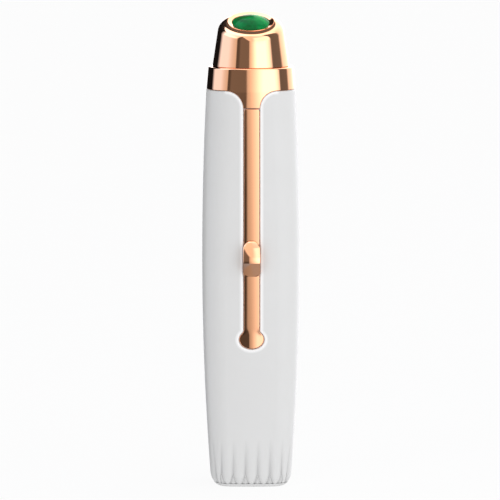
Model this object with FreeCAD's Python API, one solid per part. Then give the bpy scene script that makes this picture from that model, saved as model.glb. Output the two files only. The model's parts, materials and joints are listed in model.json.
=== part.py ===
import FreeCAD, Part
import math
import os

# Heated eye massager wand, standing on its base: millimetres, +Z up, front (thumb slider) towards -Y.
# The origin is the centre of the flat base. Four bodies move against each other: the handle with all
# that is fixed in it, the thumb slider, the pressed tip and the rotor of the vibration motor.

V = FreeCAD.Vector

# ---------------------------------------------------------------- barrel
base_lip = 0.9                   # height of the base cap that shows below the sleeve
sleeve_length = 104.6
belly_height = 60.0              # where the barrel is widest
bottom_width = 21.1
belly_width = 25.86
top_width = 23.54
flank_radius_bottom = 60.0       # bow of the four flat sides, seen from above
flank_radius_top = 20.0
corner_radius_bottom = 5.4
corner_radius_top = 8.4
bottom_round_width = 2.3         # soft edge where the barrel meets its base
bottom_round_height = 3.0
sleeve_wall = 1.6
floor_thickness = 2.3
barrel_steps = 8                 # sections along the barrel
round_steps = 5                  # sections round the soft bottom edge

# ---------------------------------------------------------------- reeds at the foot of the barrel
reed_pitch = 3.27
reeds_per_side = 6
reed_top = 13.3
reed_full = 4.2                  # the grooves are at full depth from here down
reed_depth = 0.6
reed_slope = 1.35                # half width of a groove per unit of depth
reed_reach = 1.0                 # how far the groove tool stands outside the wall

# ---------------------------------------------------------------- inlay down the front
inlay_width = 4.5
inlay_length = 61.2              # seam under the collar to the middle of the round end
round_end_width = 6.92
round_end_height = 5.32
mouth_corner_radius = 4.5        # rounded corners of the sleeve beside the collar's tongue
strip_thickness = 0.8
strip_drop = 0.12                # the strip lies this far below the sleeve's skin
inlay_gap = 0.2
stud_radius = 1.2

# ---------------------------------------------------------------- thumb slider
slider_below_top = 44.1
slider_travel = 3.0
nub_length = 9.6
nub_width = 4.5
nub_height = 2.95
nub_crest_drop = 5.8             # crest below the upper end of the nub
nub_hollow = 0.1                 # hollow of the steep face under the crest
nub_corner = 1.0                 # corners at the foot of the nub
nub_glide_gap = 0.15
stem_length = 2.2
stem_width = 2.4
stem_gap = 0.15
carrier_length = 9.0
carrier_width = 6.4
carrier_thickness = 1.0
socket_height = 0.8
lever_size = 1.5
lever_gap = 0.05

# ---------------------------------------------------------------- slide switch
switch_length = 8.6
switch_width = 3.7
switch_height = 3.4
switch_slot_depth = 1.6
lever_reach = 0.3                # from the switch's face up into the carrier's socket
lever_foot = 1.4

# ---------------------------------------------------------------- collar and head
collar_height = 5.9
collar_top_width = 22.5
collar_top_plate = 1.2
collar_bore_radius = 9.6
head_base_radius = 10.2
head_taper_deg = 8.6
head_height = 11.75              # collar top to the centre of the slanted face
tip_tilt_deg = 20.0
head_shoulder = 2.5
head_wall = 0.9
tip_wall = 2.4
thread_ring_height = 2.0
thread_gap = 0.05
seal_width = 0.8
seal_thickness = 0.5
seal_inset = 0.3

# ---------------------------------------------------------------- tip
gem_radius = 4.92
gem_rise = 1.45
gem_edge_drop = 0.15
gem_thickness = 1.1              # straight wall of the stone below its dome
gem_gap = 0.13
bezel_width = 1.15
bezel_rise = 0.15
bezel_height = 1.4
bezel_lip = 0.15
bezel_slope_depth = 0.3
ledge_width = 0.9                # step that carries the bezel
holder_thickness = 1.0
holder_flange_width = 0.6
holder_flange_thickness = 0.8
holder_flange_gap = 0.1
holder_stem_radius = 1.5
holder_stem_length = 1.0
tip_travel = 0.6

# ---------------------------------------------------------------- heater and head board
heater_thickness = 0.3
heater_width = 0.8
heater_gap = 0.2
thermistor_length = 2.0
thermistor_width = 1.0
thermistor_height = 0.8
head_board_radius = 5.9
board_thickness = 1.0
tact_size = 4.5
tact_height = 2.0
plunger_radius = 1.0
plunger_gap = 0.05
plunger_rise = 0.6
plunger_floor = 0.2
led_length = 2.0
led_width = 1.2
led_height = 0.7
led_offset = 4.2

# ---------------------------------------------------------------- head mount
mount_neck_radius = 8.3
mount_disc_radius = 9.4
mount_disc_height = 2.0
mount_pocket_radius = 4.6
mount_pocket_depth = 3.0
wire_hole_radius = 2.0
mount_screw_offset = 4.5

# ---------------------------------------------------------------- inner frame
frame_gap = 0.15
frame_wall = 1.2
frame_top_plate = 2.0
frame_opening_radius = 4.2
boss_radius = 1.8
frame_boss_offset = 6.2
frame_screw_below_motor = 4.4
frame_screw_below_top = 4.6
saddle_thickness = 1.5
saddle_inset = 1.5
rib_thickness = 1.2
rib_inset = 6.0
lead_notch_width = 4.0
lead_notch_depth = 1.6

# ---------------------------------------------------------------- screws
screw_radius = 0.8
screw_head_radius = 1.45
screw_head_height = 1.1
screw_grip = 3.0                 # thread below the parting face
screw_seat = 5.0                 # head of a frame screw behind the parting face
screw_hole_gap = 0.1
recess_gap = 0.25
drive_radius = 0.6
drive_depth = 0.5
board_screw_grip = 2.6
board_screw_offset = 5.4
board_screw_margin = 5.4

# ---------------------------------------------------------------- main board, socket and cell
board_width = 14.6
board_floor_gap = 0.3
board_above_slider = 8.9
usb_width = 8.94
usb_height = 3.26
usb_length = 7.3
usb_wall = 0.3
usb_drop = 0.35                  # mouth of the socket above the base
usb_gap = 0.15
usb_tongue_width = 6.7
usb_tongue_thickness = 0.7
usb_tongue_start = 0.9
usb_core_length = 2.6
plug_width = 12.8
plug_gap = 0.1
plug_corner = 2.0
plug_wall = 1.0
plug_floor = 1.5
plug_top_rise = 1.0
catch_width = 6.0
catch_reach = 0.5
catch_gap = 0.05
cell_width = 12.6
cell_thickness = 7.0
cell_length = 40.0
cell_corner = 1.5
cell_bottom = 13.0
pad_thickness = 0.5
cell_board_height = 1.6
cell_board_inset = 1.0
chip_size = 4.0
chip_height = 0.9
chip_rows = 2
chip_pitch = 7.0
chip_offset = 3.2
chip_start = 14.4
contact_width = 2.4
contact_thickness = 0.3
contact_height = 2.0
contact_length = 4.5

# ---------------------------------------------------------------- vibration motor
motor_radius = 3.5
motor_length = 12.0
motor_wall = 0.4
motor_below_top = 14.5           # top of the can below the top of the sleeve
end_cap_height = 1.5
boot_wall = 0.8
bush_radius = 1.2
bush_height = 0.8
shaft_radius = 0.5
shaft_gap = 0.04
shaft_reach = 5.2
weight_radius = 3.0
weight_length = 3.4
weight_gap = 0.6
weight_hub_radius = 1.1
armature_radius = 2.4
armature_length = 8.5
armature_gap = 0.8

# ---------------------------------------------------------------- leads
lead_radius = 0.4
lead_pitch = 1.1
lead_bend = 1.6
lead_depth = 5.6                 # the head's leads run up this far behind the axis
lead_joint_gap = 0.15
motor_lead_offset = 1.2
motor_lead_start = 4.0
head_lead_start = 7.4
cell_lead_offset = 2.0
cell_lead_rise = 3.9
small_bend = 1.2

# ---------------------------------------------------------------- derived places
sleeve_top = base_lip + sleeve_length
cavity_bottom = base_lip + floor_thickness
half_bottom = bottom_width / 2
half_belly = belly_width / 2
half_top = top_width / 2
seam_z = sleeve_top - mouth_corner_radius
round_end_z = seam_z - inlay_length
slider_z = sleeve_top - slider_below_top
collar_top = sleeve_top + collar_height
tip_z = collar_top + head_height
channel_depth = strip_drop + strip_thickness
plug_top = cavity_bottom + plug_top_rise
board_bottom = plug_top + board_floor_gap
board_top = slider_z + board_above_slider
board_back = -usb_height / 2
board_front = board_back - board_thickness
cell_front = board_back + pad_thickness
cell_back = cell_front + cell_thickness
cell_top = cell_bottom + cell_length
cell_board_top = cell_top + cell_board_height
motor_top = sleeve_top - motor_below_top
motor_bottom = motor_top - motor_length
end_cap_bottom = motor_bottom - end_cap_height
boot_radius = motor_radius + boot_wall
switch_front = board_front - switch_height
socket_front = switch_front - lever_reach - socket_height
carrier_front = socket_front - carrier_thickness
bezel_inner = gem_radius + gem_gap
bezel_outer = bezel_inner + bezel_width
ledge_radius = bezel_outer - ledge_width
gem_bottom = -gem_edge_drop - gem_thickness
holder_bottom = gem_bottom - holder_thickness
flange_top = -tip_wall - holder_flange_gap
flange_bottom = flange_top - holder_flange_thickness
flange_radius = ledge_radius + holder_flange_width
stem_bottom = flange_bottom - holder_stem_length
tact_top = stem_bottom - plunger_rise
head_board_top = tact_top - tact_height
head_board_bottom = head_board_top - board_thickness
tall = 2 * (sleeve_length + collar_height + head_height)
wide = 2 * belly_width


# ---------------------------------------------------------------- simple shapes
def block(x0, x1, y0, y1, z0, z1):
    return Part.makeBox(x1 - x0, y1 - y0, z1 - z0, V(x0, y0, z0))


def rod(radius, z0, z1, x=0.0, y=0.0):
    return Part.makeCylinder(radius, z1 - z0, V(x, y, z0))


def rod_y(radius, y0, y1, x, z):
    return Part.makeCylinder(radius, y1 - y0, V(x, y0, z), V(0, 1, 0))


def slab(z0, z1):
    return block(-wide, wide, -wide, wide, z0, z1)


def fuse_all(shapes):
    whole = shapes[0]
    for shape in shapes[1:]:
        whole = whole.fuse(shape)
    return whole.removeSplitter()


def polygon(points):
    return Part.makePolygon(points + [points[0]])


def stadium(width, height, z0, z1):
    """A bar with round ends, lying along X and centred on the axis."""
    end = height / 2
    reach = width / 2 - end
    middle = block(-reach, reach, -end, end, z0, z1)
    return fuse_all([middle, rod(end, z0, z1, -reach), rod(end, z0, z1, reach)])


def rounded_block(width, depth, corner, z0, z1):
    solid = block(-width / 2, width / 2, -depth / 2, depth / 2, z0, z1)
    upright = [e for e in solid.Edges if abs(e.tangentAt(e.FirstParameter).z) > 0.5]
    return solid.makeFillet(corner, upright)


def tilted(shape):
    """From the tip's own frame (face plane at 0, outward +Z) to its place on the head."""
    shape.rotate(V(0, 0, 0), V(1, 0, 0), tip_tilt_deg)
    shape.translate(V(0, 0, tip_z))
    return shape


def lead(points, radius, bend):
    """A wire of straight runs joined by tangent arcs."""
    edges = []
    start = points[0]
    for before, corner, after in zip(points, points[1:], points[2:]):
        to_before = (before - corner).normalize()
        to_after = (after - corner).normalize()
        half_turn = (math.pi - to_before.getAngle(to_after)) / 2
        cut = bend * math.tan(half_turn)
        first = corner + to_before * cut
        last = corner + to_after * cut
        inward = (to_before + to_after).normalize()
        middle = corner + inward * (bend / math.cos(half_turn) - bend)
        edges.append(Part.LineSegment(start, first).toShape())
        edges.append(Part.Arc(first, middle, last).toShape())
        start = last
    edges.append(Part.LineSegment(start, points[-1]).toShape())
    path = Part.Wire(edges)
    direction = points[1] - points[0]
    profile = Part.Wire([Part.makeCircle(radius, points[0], direction)])
    return path.makePipeShell([profile], True, False)


# ---------------------------------------------------------------- the barrel's form
def half_width(z):
    if z > belly_height:
        share = (z - belly_height) / (sleeve_top - belly_height)
        return half_belly - (half_belly - half_top) * share ** 2
    share = (belly_height - z) / belly_height
    return half_belly - (half_belly - half_bottom) * share ** 2


def blend(z, low, high):
    return low + (high - low) * z / sleeve_top


class Section:
    """A soft square in plan: four bowed flanks joined by four corner arcs."""

    def __init__(self, half, flank, corner):
        self.half = half
        self.flank = flank
        self.corner = corner
        drop = flank - half
        reach = flank - corner
        self.centre = (math.sqrt(2 * reach ** 2 - drop ** 2) - drop) / 2
        self.turn = math.atan2(self.centre, self.centre + drop)

    def wire(self, z, inset):
        edges = []
        flank = self.flank - inset
        corner = self.corner - inset
        shift = self.half - self.flank
        for side in range(4):
            flank_arc = arc_points(shift, 0.0, flank, (-self.turn, 0.0, self.turn))
            turns = (self.turn, math.pi / 4, math.pi / 2 - self.turn)
            corner_arc = arc_points(self.centre, self.centre, corner, turns)
            for arc in (flank_arc, corner_arc):
                places = [turned(x, y, side, z) for x, y in arc]
                edges.append(Part.Arc(*places).toShape())
        return Part.Wire(edges)

    def skin(self, across):
        """Point and outward direction of the flank towards +X, at this distance along Y."""
        edge = self.flank * math.sin(self.turn)
        if abs(across) <= edge:
            angle = math.asin(across / self.flank)
            return self.half - self.flank + self.flank * math.cos(angle), angle
        beyond = abs(across) - self.centre
        angle = math.asin(beyond / self.corner)
        return self.centre + self.corner * math.cos(angle), math.copysign(angle, across)


def arc_points(x, y, radius, turns):
    return [(x + radius * math.cos(turn), y + radius * math.sin(turn)) for turn in turns]


def turned(x, y, side, z):
    quarter = side * math.pi / 2
    return V(x * math.cos(quarter) - y * math.sin(quarter), x * math.sin(quarter) + y * math.cos(quarter), z)


def barrel_section(z):
    flank = blend(z, flank_radius_bottom, flank_radius_top)
    corner = blend(z, corner_radius_bottom, corner_radius_top)
    return Section(half_width(z), flank, corner)


def barrel(inset):
    """The barrel above its soft bottom edge, every face moved in by this much."""
    wires = []
    for step in range(barrel_steps + 1):
        z = bottom_round_height + (sleeve_top - bottom_round_height) * step / barrel_steps
        wires.append(barrel_section(z).wire(z, inset))
    return Part.makeLoft(wires, True)


def foot():
    """The soft bottom edge below the barrel."""
    wires = []
    for step in range(round_steps + 1):
        turn = math.pi / 2 * step / round_steps
        z = bottom_round_height * (1 - math.cos(turn))
        wires.append(barrel_section(z).wire(z, bottom_round_width * (1 - math.sin(turn))))
    return Part.makeLoft(wires, True)


def bore(inset):
    """The drafted hollow of the sleeve, every face moved in by this much."""
    low = barrel_section(cavity_bottom).wire(cavity_bottom, sleeve_wall + inset)
    high = barrel_section(sleeve_top).wire(sleeve_top, sleeve_wall + inset)
    return Part.makeLoft([low, high], True, True)


def reed_tool(across, side):
    wires = []
    for z, depth in ((reed_top, 0.0), (reed_full, reed_depth), (0.0, reed_depth)):
        out, angle = barrel_section(z).skin(across)
        normal = V(math.cos(angle), math.sin(angle), 0)
        along = V(-math.sin(angle), math.cos(angle), 0)
        apex = V(out, across, z) - normal * depth
        rim = apex + normal * (depth + reed_reach)
        spread = along * (reed_slope * (depth + reed_reach))
        wires.append(polygon([apex, rim + spread, rim - spread]))
    tool = Part.makeLoft(wires, True, True)
    tool.rotate(V(0, 0, 0), V(0, 0, 1), side * 90)
    return tool


def reed_tools():
    tools = []
    for side in range(4):
        for reed in range(reeds_per_side):
            across = (reed - (reeds_per_side - 1) / 2) * reed_pitch
            tools.append(reed_tool(across, side))
    return tools


# ---------------------------------------------------------------- outlines on the front
def front_block(half, z0, z1):
    return block(-half, half, -wide, 0, z0, z1)


def round_end(gap):
    centre = V(0, -wide, round_end_z)
    tall_half = round_end_height / 2 - gap
    wide_half = round_end_width / 2 - gap
    ellipse = Part.Ellipse(V(wide_half, -wide, round_end_z), V(0, -wide, round_end_z + tall_half), centre)
    return Part.Face(Part.Wire([ellipse.toShape()])).extrude(V(0, wide, 0))


def mouth(gap):
    """The flared opening under the collar that its tongue fills."""
    half = inlay_width / 2
    outline = front_block(half + mouth_corner_radius, seam_z, sleeve_top)
    for side in (-1, 1):
        corner = rod_y(mouth_corner_radius + gap, -wide, 0, side * (half + mouth_corner_radius), seam_z)
        outline = outline.cut(corner)
    return outline


def keyhole(gap, top):
    half = inlay_width / 2 - gap
    return fuse_all([front_block(half, round_end_z, top), round_end(gap)])


def stem_window(extra):
    half = stem_width / 2 + extra
    low = slider_z - stem_length / 2 - extra
    high = slider_z + stem_length / 2 + slider_travel + extra
    return front_block(half, low, high)


# ---------------------------------------------------------------- shells
def body_sleeve():
    shell = barrel(0.0).fuse(foot().cut(slab(-wide, base_lip)))
    shell = shell.cut(bore(0.0))
    opening = plug_width + 2 * plug_gap
    shell = shell.cut(rounded_block(opening, opening, plug_corner, 0, cavity_bottom))
    inlay = keyhole(0.0, seam_z).fuse(mouth(0.0))
    shell = shell.cut(inlay.cut(barrel(channel_depth)))
    shell = shell.cut(stem_window(stem_gap))
    shell = shell.cut(rod_y(stud_radius + inlay_gap, -wide, 0, 0, round_end_z))
    return shell.cut(reed_tools())


def base_cap():
    flange = foot().common(slab(-wide, base_lip))
    plug = rounded_block(plug_width, plug_width, plug_corner, base_lip, plug_top)
    hollow = plug_width - 2 * plug_wall
    plug = plug.cut(rounded_block(hollow, hollow, plug_corner - plug_wall, plug_floor, plug_top))
    catches = []
    for side in (-1, 1):
        face = side * plug_width / 2
        near, far = sorted((face - side * plug_wall / 2, face + side * catch_reach))
        half = catch_width / 2
        catches.append(block(-half, half, near, far, cavity_bottom + catch_gap, plug_top))
    cap = fuse_all([flange, plug] + catches)
    return cap.cut(stadium(usb_width + 2 * usb_gap, usb_height + 2 * usb_gap, 0, plug_top))


def contact_strip():
    outline = keyhole(inlay_gap, seam_z - inlay_gap)
    strip = barrel(strip_drop).cut(barrel(channel_depth)).common(outline)
    strip = strip.cut(stem_window(stem_gap))
    stud_end = board_front - contact_height
    stud = rod_y(stud_radius, -half_width(round_end_z) + channel_depth, stud_end, 0, round_end_z)
    return strip.fuse(stud)


def collar():
    low = barrel_section(sleeve_top)
    high = Section(collar_top_width / 2, flank_radius_top, corner_radius_top)
    form = Part.makeLoft([low.wire(sleeve_top, 0.0), high.wire(collar_top, 0.0)], True, True)
    form = form.cut(rod(collar_bore_radius, sleeve_top, collar_top - collar_top_plate))
    form = form.cut(rod(mount_neck_radius + thread_gap, sleeve_top, collar_top))
    seal_low = mount_neck_radius + seal_inset
    groove = rod(seal_low + seal_width, collar_top - seal_thickness, collar_top)
    form = form.cut(groove.cut(rod(seal_low, sleeve_top, collar_top)))
    skin = barrel(0.0).cut(barrel(channel_depth))
    return form.fuse(skin.common(mouth(inlay_gap)))


def head_seal():
    low = mount_neck_radius + seal_inset
    ring = rod(low + seal_width, collar_top - seal_thickness, collar_top)
    return ring.cut(rod(low, sleeve_top, collar_top))


def cone(base_radius, z0, z1):
    top_radius = base_radius - (z1 - z0) * math.tan(math.radians(head_taper_deg))
    return Part.makeCone(base_radius, top_radius, z1 - z0, V(0, 0, z0))


def below_face(depth):
    return tilted(block(-wide, wide, -wide, wide, -wide, -depth))


def head_shell():
    peak = tip_z + head_base_radius
    form = cone(head_base_radius, collar_top, peak).common(below_face(0.0))
    rim = [e for e in form.Edges if e.CenterOfMass.z > tip_z - 1 and e.Closed]
    form = form.makeFillet(head_shoulder, rim)
    hollow = cone(head_base_radius - head_wall, collar_top, peak).common(below_face(tip_wall))
    hollow = hollow.cut(slab(collar_top, collar_top + thread_ring_height))
    form = form.cut(hollow)
    form = form.cut(rod(mount_neck_radius + thread_gap, collar_top, collar_top + thread_ring_height))
    form = form.cut(tilted(rod(bezel_outer, bezel_rise - bezel_height, wide)))
    inside = slab(collar_top + thread_ring_height, tall)
    return form.cut(tilted(rod(ledge_radius, -wide / 2, 0)).common(inside))


def tip_bezel():
    low = bezel_rise - bezel_height
    ring = rod(bezel_outer, low, bezel_rise).cut(rod(bezel_inner, low, bezel_rise))
    start = V(0, 0, bezel_rise - bezel_slope_depth)
    slope = Part.makeCone(bezel_inner, bezel_outer - bezel_lip, bezel_slope_depth, start)
    return tilted(ring.cut(slope))


# ---------------------------------------------------------------- tip button
def tip_gem():
    cap_height = gem_rise + gem_edge_drop
    ball = (gem_radius ** 2 + cap_height ** 2) / (2 * cap_height)
    dome = Part.makeSphere(ball, V(0, 0, gem_rise - ball))
    return tilted(rod(gem_radius, gem_bottom, gem_rise).common(dome))


def gem_holder():
    pedestal = rod(ledge_radius - gem_gap, flange_top, gem_bottom)
    seat = rod(gem_radius, holder_bottom, gem_bottom).common(rod(ledge_radius - gem_gap, -wide, 0))
    flange = rod(flange_radius, flange_bottom, flange_top)
    stem = rod(holder_stem_radius, stem_bottom, flange_bottom)
    return tilted(fuse_all([pedestal, seat, flange, stem]))


def switch_plunger():
    low = head_board_top + plunger_floor + tip_travel
    return tilted(rod(plunger_radius, low, stem_bottom))


def tact_switch():
    half = tact_size / 2
    case = block(-half, half, -half, half, head_board_top, tact_top)
    return tilted(case.cut(rod(plunger_radius + plunger_gap, head_board_top + plunger_floor, tact_top)))


def head_board():
    return tilted(rod(head_board_radius, head_board_bottom, head_board_top))


def tip_led():
    half = led_length / 2
    low = led_offset - led_width / 2
    return tilted(block(-half, half, low, low + led_width, head_board_top, head_board_top + led_height))


def heater_ring():
    low = flange_radius + heater_gap
    ring = rod(low + heater_width, -tip_wall - heater_thickness, -tip_wall)
    return tilted(ring.cut(rod(low, -wide, 0)))


def thermistor():
    half = thermistor_length / 2
    far = -(flange_radius + 2 * heater_gap + heater_width)
    bead = block(-half, half, far - thermistor_width, far, -tip_wall - thermistor_height, -tip_wall)
    return tilted(bead)


def head_mount():
    disc = rod(mount_disc_radius, sleeve_top, sleeve_top + mount_disc_height)
    neck = rod(mount_neck_radius, sleeve_top, tip_z).common(below_face(-head_board_bottom))
    mount = disc.fuse(neck)
    pocket_bottom = head_board_bottom - mount_pocket_depth
    mount = mount.cut(tilted(rod(mount_pocket_radius, pocket_bottom, head_board_bottom)))
    mount = mount.cut(rod(wire_hole_radius, sleeve_top, tip_z, 0, lead_depth))
    for side in (-1, 1):
        x = side * mount_screw_offset
        mount = mount.cut(rod(screw_radius + screw_hole_gap, sleeve_top, tip_z, x, x))
        recess = rod(screw_head_radius + recess_gap, sleeve_top + mount_disc_height, tip_z, x, x)
        mount = mount.cut(recess)
    return mount


# ---------------------------------------------------------------- screws
def screw(grip):
    """A pan-head screw along +Z, its head seated on the plane at 0 and its thread below."""
    head = rod(screw_head_radius, 0, screw_head_height)
    cross = block(-drive_radius, drive_radius, -drive_depth / 2, drive_depth / 2, 0, screw_head_height)
    turned_cross = cross.copy()
    turned_cross.rotate(V(0, 0, 0), V(0, 0, 1), 90)
    drive = cross.fuse(turned_cross).common(slab(screw_head_height - drive_depth, screw_head_height))
    return head.fuse(rod(screw_radius, -grip, 0)).removeSplitter().cut(drive)


def facing_back(shape, x, y, z):
    shape.rotate(V(0, 0, 0), V(1, 0, 0), -90)
    shape.translate(V(x, y, z))
    return shape


def mount_screws():
    screws = []
    for side in (-1, 1):
        one = screw(mount_disc_height + frame_top_plate)
        x = side * mount_screw_offset
        one.translate(V(x, x, sleeve_top + mount_disc_height))
        screws.append(one)
    return Part.makeCompound(screws)


def frame_screw_places():
    low = end_cap_bottom - frame_screw_below_motor
    high = sleeve_top - frame_screw_below_top
    return [(side * frame_boss_offset, z) for z in (low, high) for side in (-1, 1)]


def frame_screws():
    screws = [facing_back(screw(screw_grip + screw_seat), x, screw_seat, z) for x, z in frame_screw_places()]
    return Part.makeCompound(screws)


def board_screw_places():
    low = board_bottom + board_screw_margin
    high = cell_board_top + board_screw_margin / 2
    return [(side * board_screw_offset, z) for z in (low, high) for side in (-1, 1)]


def board_screws():
    grip = board_thickness + board_screw_grip
    screws = [facing_back(screw(grip), x, board_back, z) for x, z in board_screw_places()]
    return Part.makeCompound(screws)


# ---------------------------------------------------------------- inner frame
def frame_half(front):
    """One half of the tube that carries everything inside, parted on the plane y = 0."""
    near = -wide if front else 0
    half_space = block(-wide, wide, near, near + wide, cavity_bottom, sleeve_top)
    inside = bore(frame_gap).common(half_space)
    solids = [inside.cut(bore(frame_gap + frame_wall))]
    solids.append(inside.common(slab(sleeve_top - frame_top_plate, sleeve_top)))
    saddle_low = motor_bottom + saddle_inset
    saddle_high = motor_top - saddle_inset - saddle_thickness
    for z in (saddle_low, saddle_high):
        solids.append(inside.common(slab(z, z + saddle_thickness)))
    for x, z in frame_screw_places():
        solids.append(inside.common(rod_y(boss_radius, -wide, wide, x, z)))
    return inside, solids


def frame_openings():
    """The room for the motor and for the leads that run up behind it."""
    motor = rod(boot_radius, end_cap_bottom, motor_top)
    opening = rod(frame_opening_radius, motor_top, sleeve_top)
    half = lead_notch_width / 2
    low = lead_depth - lead_notch_depth / 2
    notch = block(-half, half, low, low + lead_notch_depth, end_cap_bottom, sleeve_top)
    places = (-mount_screw_offset, mount_screw_offset)
    pilots = [rod(screw_radius, sleeve_top - frame_top_plate, sleeve_top, x, x) for x in places]
    return [motor, opening, notch] + pilots


def front_frame():
    inside, solids = frame_half(True)
    for x, z in board_screw_places():
        solids.append(inside.common(rod_y(boss_radius, -wide, board_front, x, z)))
    frame = fuse_all(solids)
    cuts = frame_openings()
    cuts.append(stem_window(2 * stem_gap))
    cuts.append(rod_y(stud_radius + 2 * inlay_gap, -wide, board_front - boss_radius, 0, round_end_z))
    for x, z in frame_screw_places():
        cuts.append(rod_y(screw_radius, -screw_grip, 0, x, z))
    for x, z in board_screw_places():
        cuts.append(rod_y(screw_radius, board_front - board_screw_grip, board_front, x, z))
    return frame.cut(cuts)


def rear_frame():
    inside, solids = frame_half(False)
    solids.append(inside.common(slab(cell_bottom - rib_thickness, cell_bottom)))
    for z in (cell_bottom + rib_inset, cell_top - rib_inset - rib_thickness):
        rib = inside.common(slab(z, z + rib_thickness))
        solids.append(rib.common(block(-wide, wide, cell_back, wide, cavity_bottom, sleeve_top)))
    frame = fuse_all(solids)
    cuts = frame_openings()
    for x, z in frame_screw_places():
        cuts.append(rod_y(screw_radius + screw_hole_gap, 0, wide, x, z))
        cuts.append(rod_y(screw_head_radius + recess_gap, screw_seat, wide, x, z))
    return frame.cut(cuts)


# ---------------------------------------------------------------- main board and what is on it
def main_board():
    board = block(-board_width / 2, board_width / 2, board_front, board_back, board_bottom, board_top)
    for x, z in board_screw_places():
        board = board.cut(rod_y(screw_radius + screw_hole_gap, board_front, board_back, x, z))
    return board


def board_chips():
    chips = []
    half = chip_size / 2
    for row in range(chip_rows):
        for side in (-1, 1):
            x = side * chip_offset
            z = chip_start + row * chip_pitch
            top = board_front - chip_height
            chips.append(block(x - half, x + half, top, board_front, z - half, z + half))
    return Part.makeCompound(chips)


def strip_contact():
    """A folded leaf that joins the strip's stud to the board."""
    half = contact_width / 2
    low = round_end_z - contact_length / 2
    high = round_end_z + contact_length / 2
    top = board_front - contact_height
    foot = block(-half, half, board_front - contact_thickness, board_front, low, high)
    leg = block(-half, half, top, board_front, low, low + contact_thickness)
    leaf = block(-half, half, top, top + contact_thickness, low, high)
    return fuse_all([foot, leg, leaf])


def usb_shell():
    top = usb_drop + usb_length
    inner = stadium(usb_width - 2 * usb_wall, usb_height - 2 * usb_wall, usb_drop, top)
    return stadium(usb_width, usb_height, usb_drop, top).cut(inner)


def usb_insert():
    top = usb_drop + usb_length
    core = stadium(usb_width - 2 * usb_wall, usb_height - 2 * usb_wall, top - usb_core_length, top)
    half = usb_tongue_width / 2
    blade = usb_tongue_thickness / 2
    return core.fuse(block(-half, half, -blade, blade, usb_tongue_start, top)).removeSplitter()


def battery_pad():
    half = cell_width / 2 - cell_corner
    return block(-half, half, board_back, cell_front, cell_bottom, cell_top)


def battery_cell():
    cell = rounded_block(cell_width, cell_thickness, cell_corner, cell_bottom, cell_top)
    cell.translate(V(0, (cell_front + cell_back) / 2, 0))
    return cell


def cell_board():
    half = cell_width / 2 - cell_corner
    inset = cell_board_inset
    return block(-half, half, cell_front + inset, cell_back - inset, cell_top, cell_board_top)


def switch_middle():
    return slider_z + slider_travel / 2


def slide_switch():
    low = switch_middle() - switch_length / 2
    case = block(-switch_width / 2, switch_width / 2, switch_front, board_front, low, low + switch_length)
    half = lever_size / 2 + lever_gap
    slot_top = slider_z + slider_travel + half
    slot_floor = switch_front + switch_slot_depth
    return case.cut(block(-half, half, switch_front, slot_floor, slider_z - half, slot_top))


# ---------------------------------------------------------------- thumb slider
def nub_base():
    span = (slider_z - nub_length / 2, slider_z, slider_z + nub_length / 2 + slider_travel)
    return -(max(half_width(z) for z in span) + nub_glide_gap)


def thumb_button():
    base = nub_base()
    high = slider_z + nub_length / 2
    low = slider_z - nub_length / 2
    crest = V(0, base - nub_height, high - nub_crest_drop)
    upper = V(0, base, high)
    lower = V(0, base, low)
    drop = nub_crest_drop
    radius = (nub_height ** 2 + drop ** 2) / (2 * nub_height)
    half_turn = math.asin(drop / radius) / 2
    over = V(0, crest.y + radius * (1 - math.cos(half_turn)), crest.z + radius * math.sin(half_turn))
    edges = [Part.Arc(upper, over, crest).toShape()]
    edges.append(Part.Arc(crest, (crest + lower) * 0.5 + V(0, nub_hollow, nub_hollow), lower).toShape())
    edges.append(Part.LineSegment(lower, upper).toShape())
    half = nub_width / 2
    form = Part.Face(Part.Wire(edges))
    form.translate(V(-half, 0, 0))
    form = form.extrude(V(nub_width, 0, 0))
    inner = half - nub_corner
    outline = fuse_all([rod_y(half, -wide, 0, 0, high - half), front_block(half, low + nub_corner, high - half),
                        front_block(inner, low, low + nub_corner),
                        rod_y(nub_corner, -wide, 0, inner, low + nub_corner),
                        rod_y(nub_corner, -wide, 0, -inner, low + nub_corner)])
    form = form.common(outline)
    stem = block(-stem_width / 2, stem_width / 2, base, carrier_front,
                 slider_z - stem_length / 2, slider_z + stem_length / 2)
    return form.fuse(stem).removeSplitter()


def slider_carrier():
    half = carrier_width / 2
    low = slider_z - carrier_length / 2
    plate = block(-half, half, carrier_front, socket_front, low, low + carrier_length)
    pocket = lever_size / 2 + lever_gap
    rim = pocket + carrier_thickness
    socket_back = socket_front + socket_height
    socket = block(-rim, rim, socket_front, socket_back, slider_z - rim, slider_z + rim)
    hole = block(-pocket, pocket, socket_front, socket_back, slider_z - pocket, slider_z + pocket)
    return plate.fuse(socket).removeSplitter().cut(hole)


def switch_lever():
    half = lever_size / 2
    return block(-half, half, socket_front, switch_front + lever_foot, slider_z - half, slider_z + half)


# ---------------------------------------------------------------- vibration motor
def motor_can():
    can = rod(motor_radius, motor_bottom, motor_top)
    can = can.cut(rod(motor_radius - motor_wall, motor_bottom, motor_top - motor_wall))
    return can.cut(rod(bush_radius, motor_bottom, motor_top))


def motor_end_cap():
    return rod(motor_radius, end_cap_bottom, motor_bottom)


def motor_bush():
    bush = rod(bush_radius, motor_top - motor_wall, motor_top + bush_height)
    return bush.cut(rod(shaft_radius + shaft_gap, motor_bottom, sleeve_top))


def motor_boot():
    boot = rod(boot_radius, motor_bottom, motor_top)
    return boot.cut(rod(motor_radius, motor_bottom, motor_top))


def motor_shaft():
    return rod(shaft_radius, motor_bottom + armature_gap / 2, motor_top + shaft_reach)


def motor_armature():
    low = motor_bottom + armature_gap
    return rod(armature_radius, low, low + armature_length).cut(rod(shaft_radius, low, sleeve_top))


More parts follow.
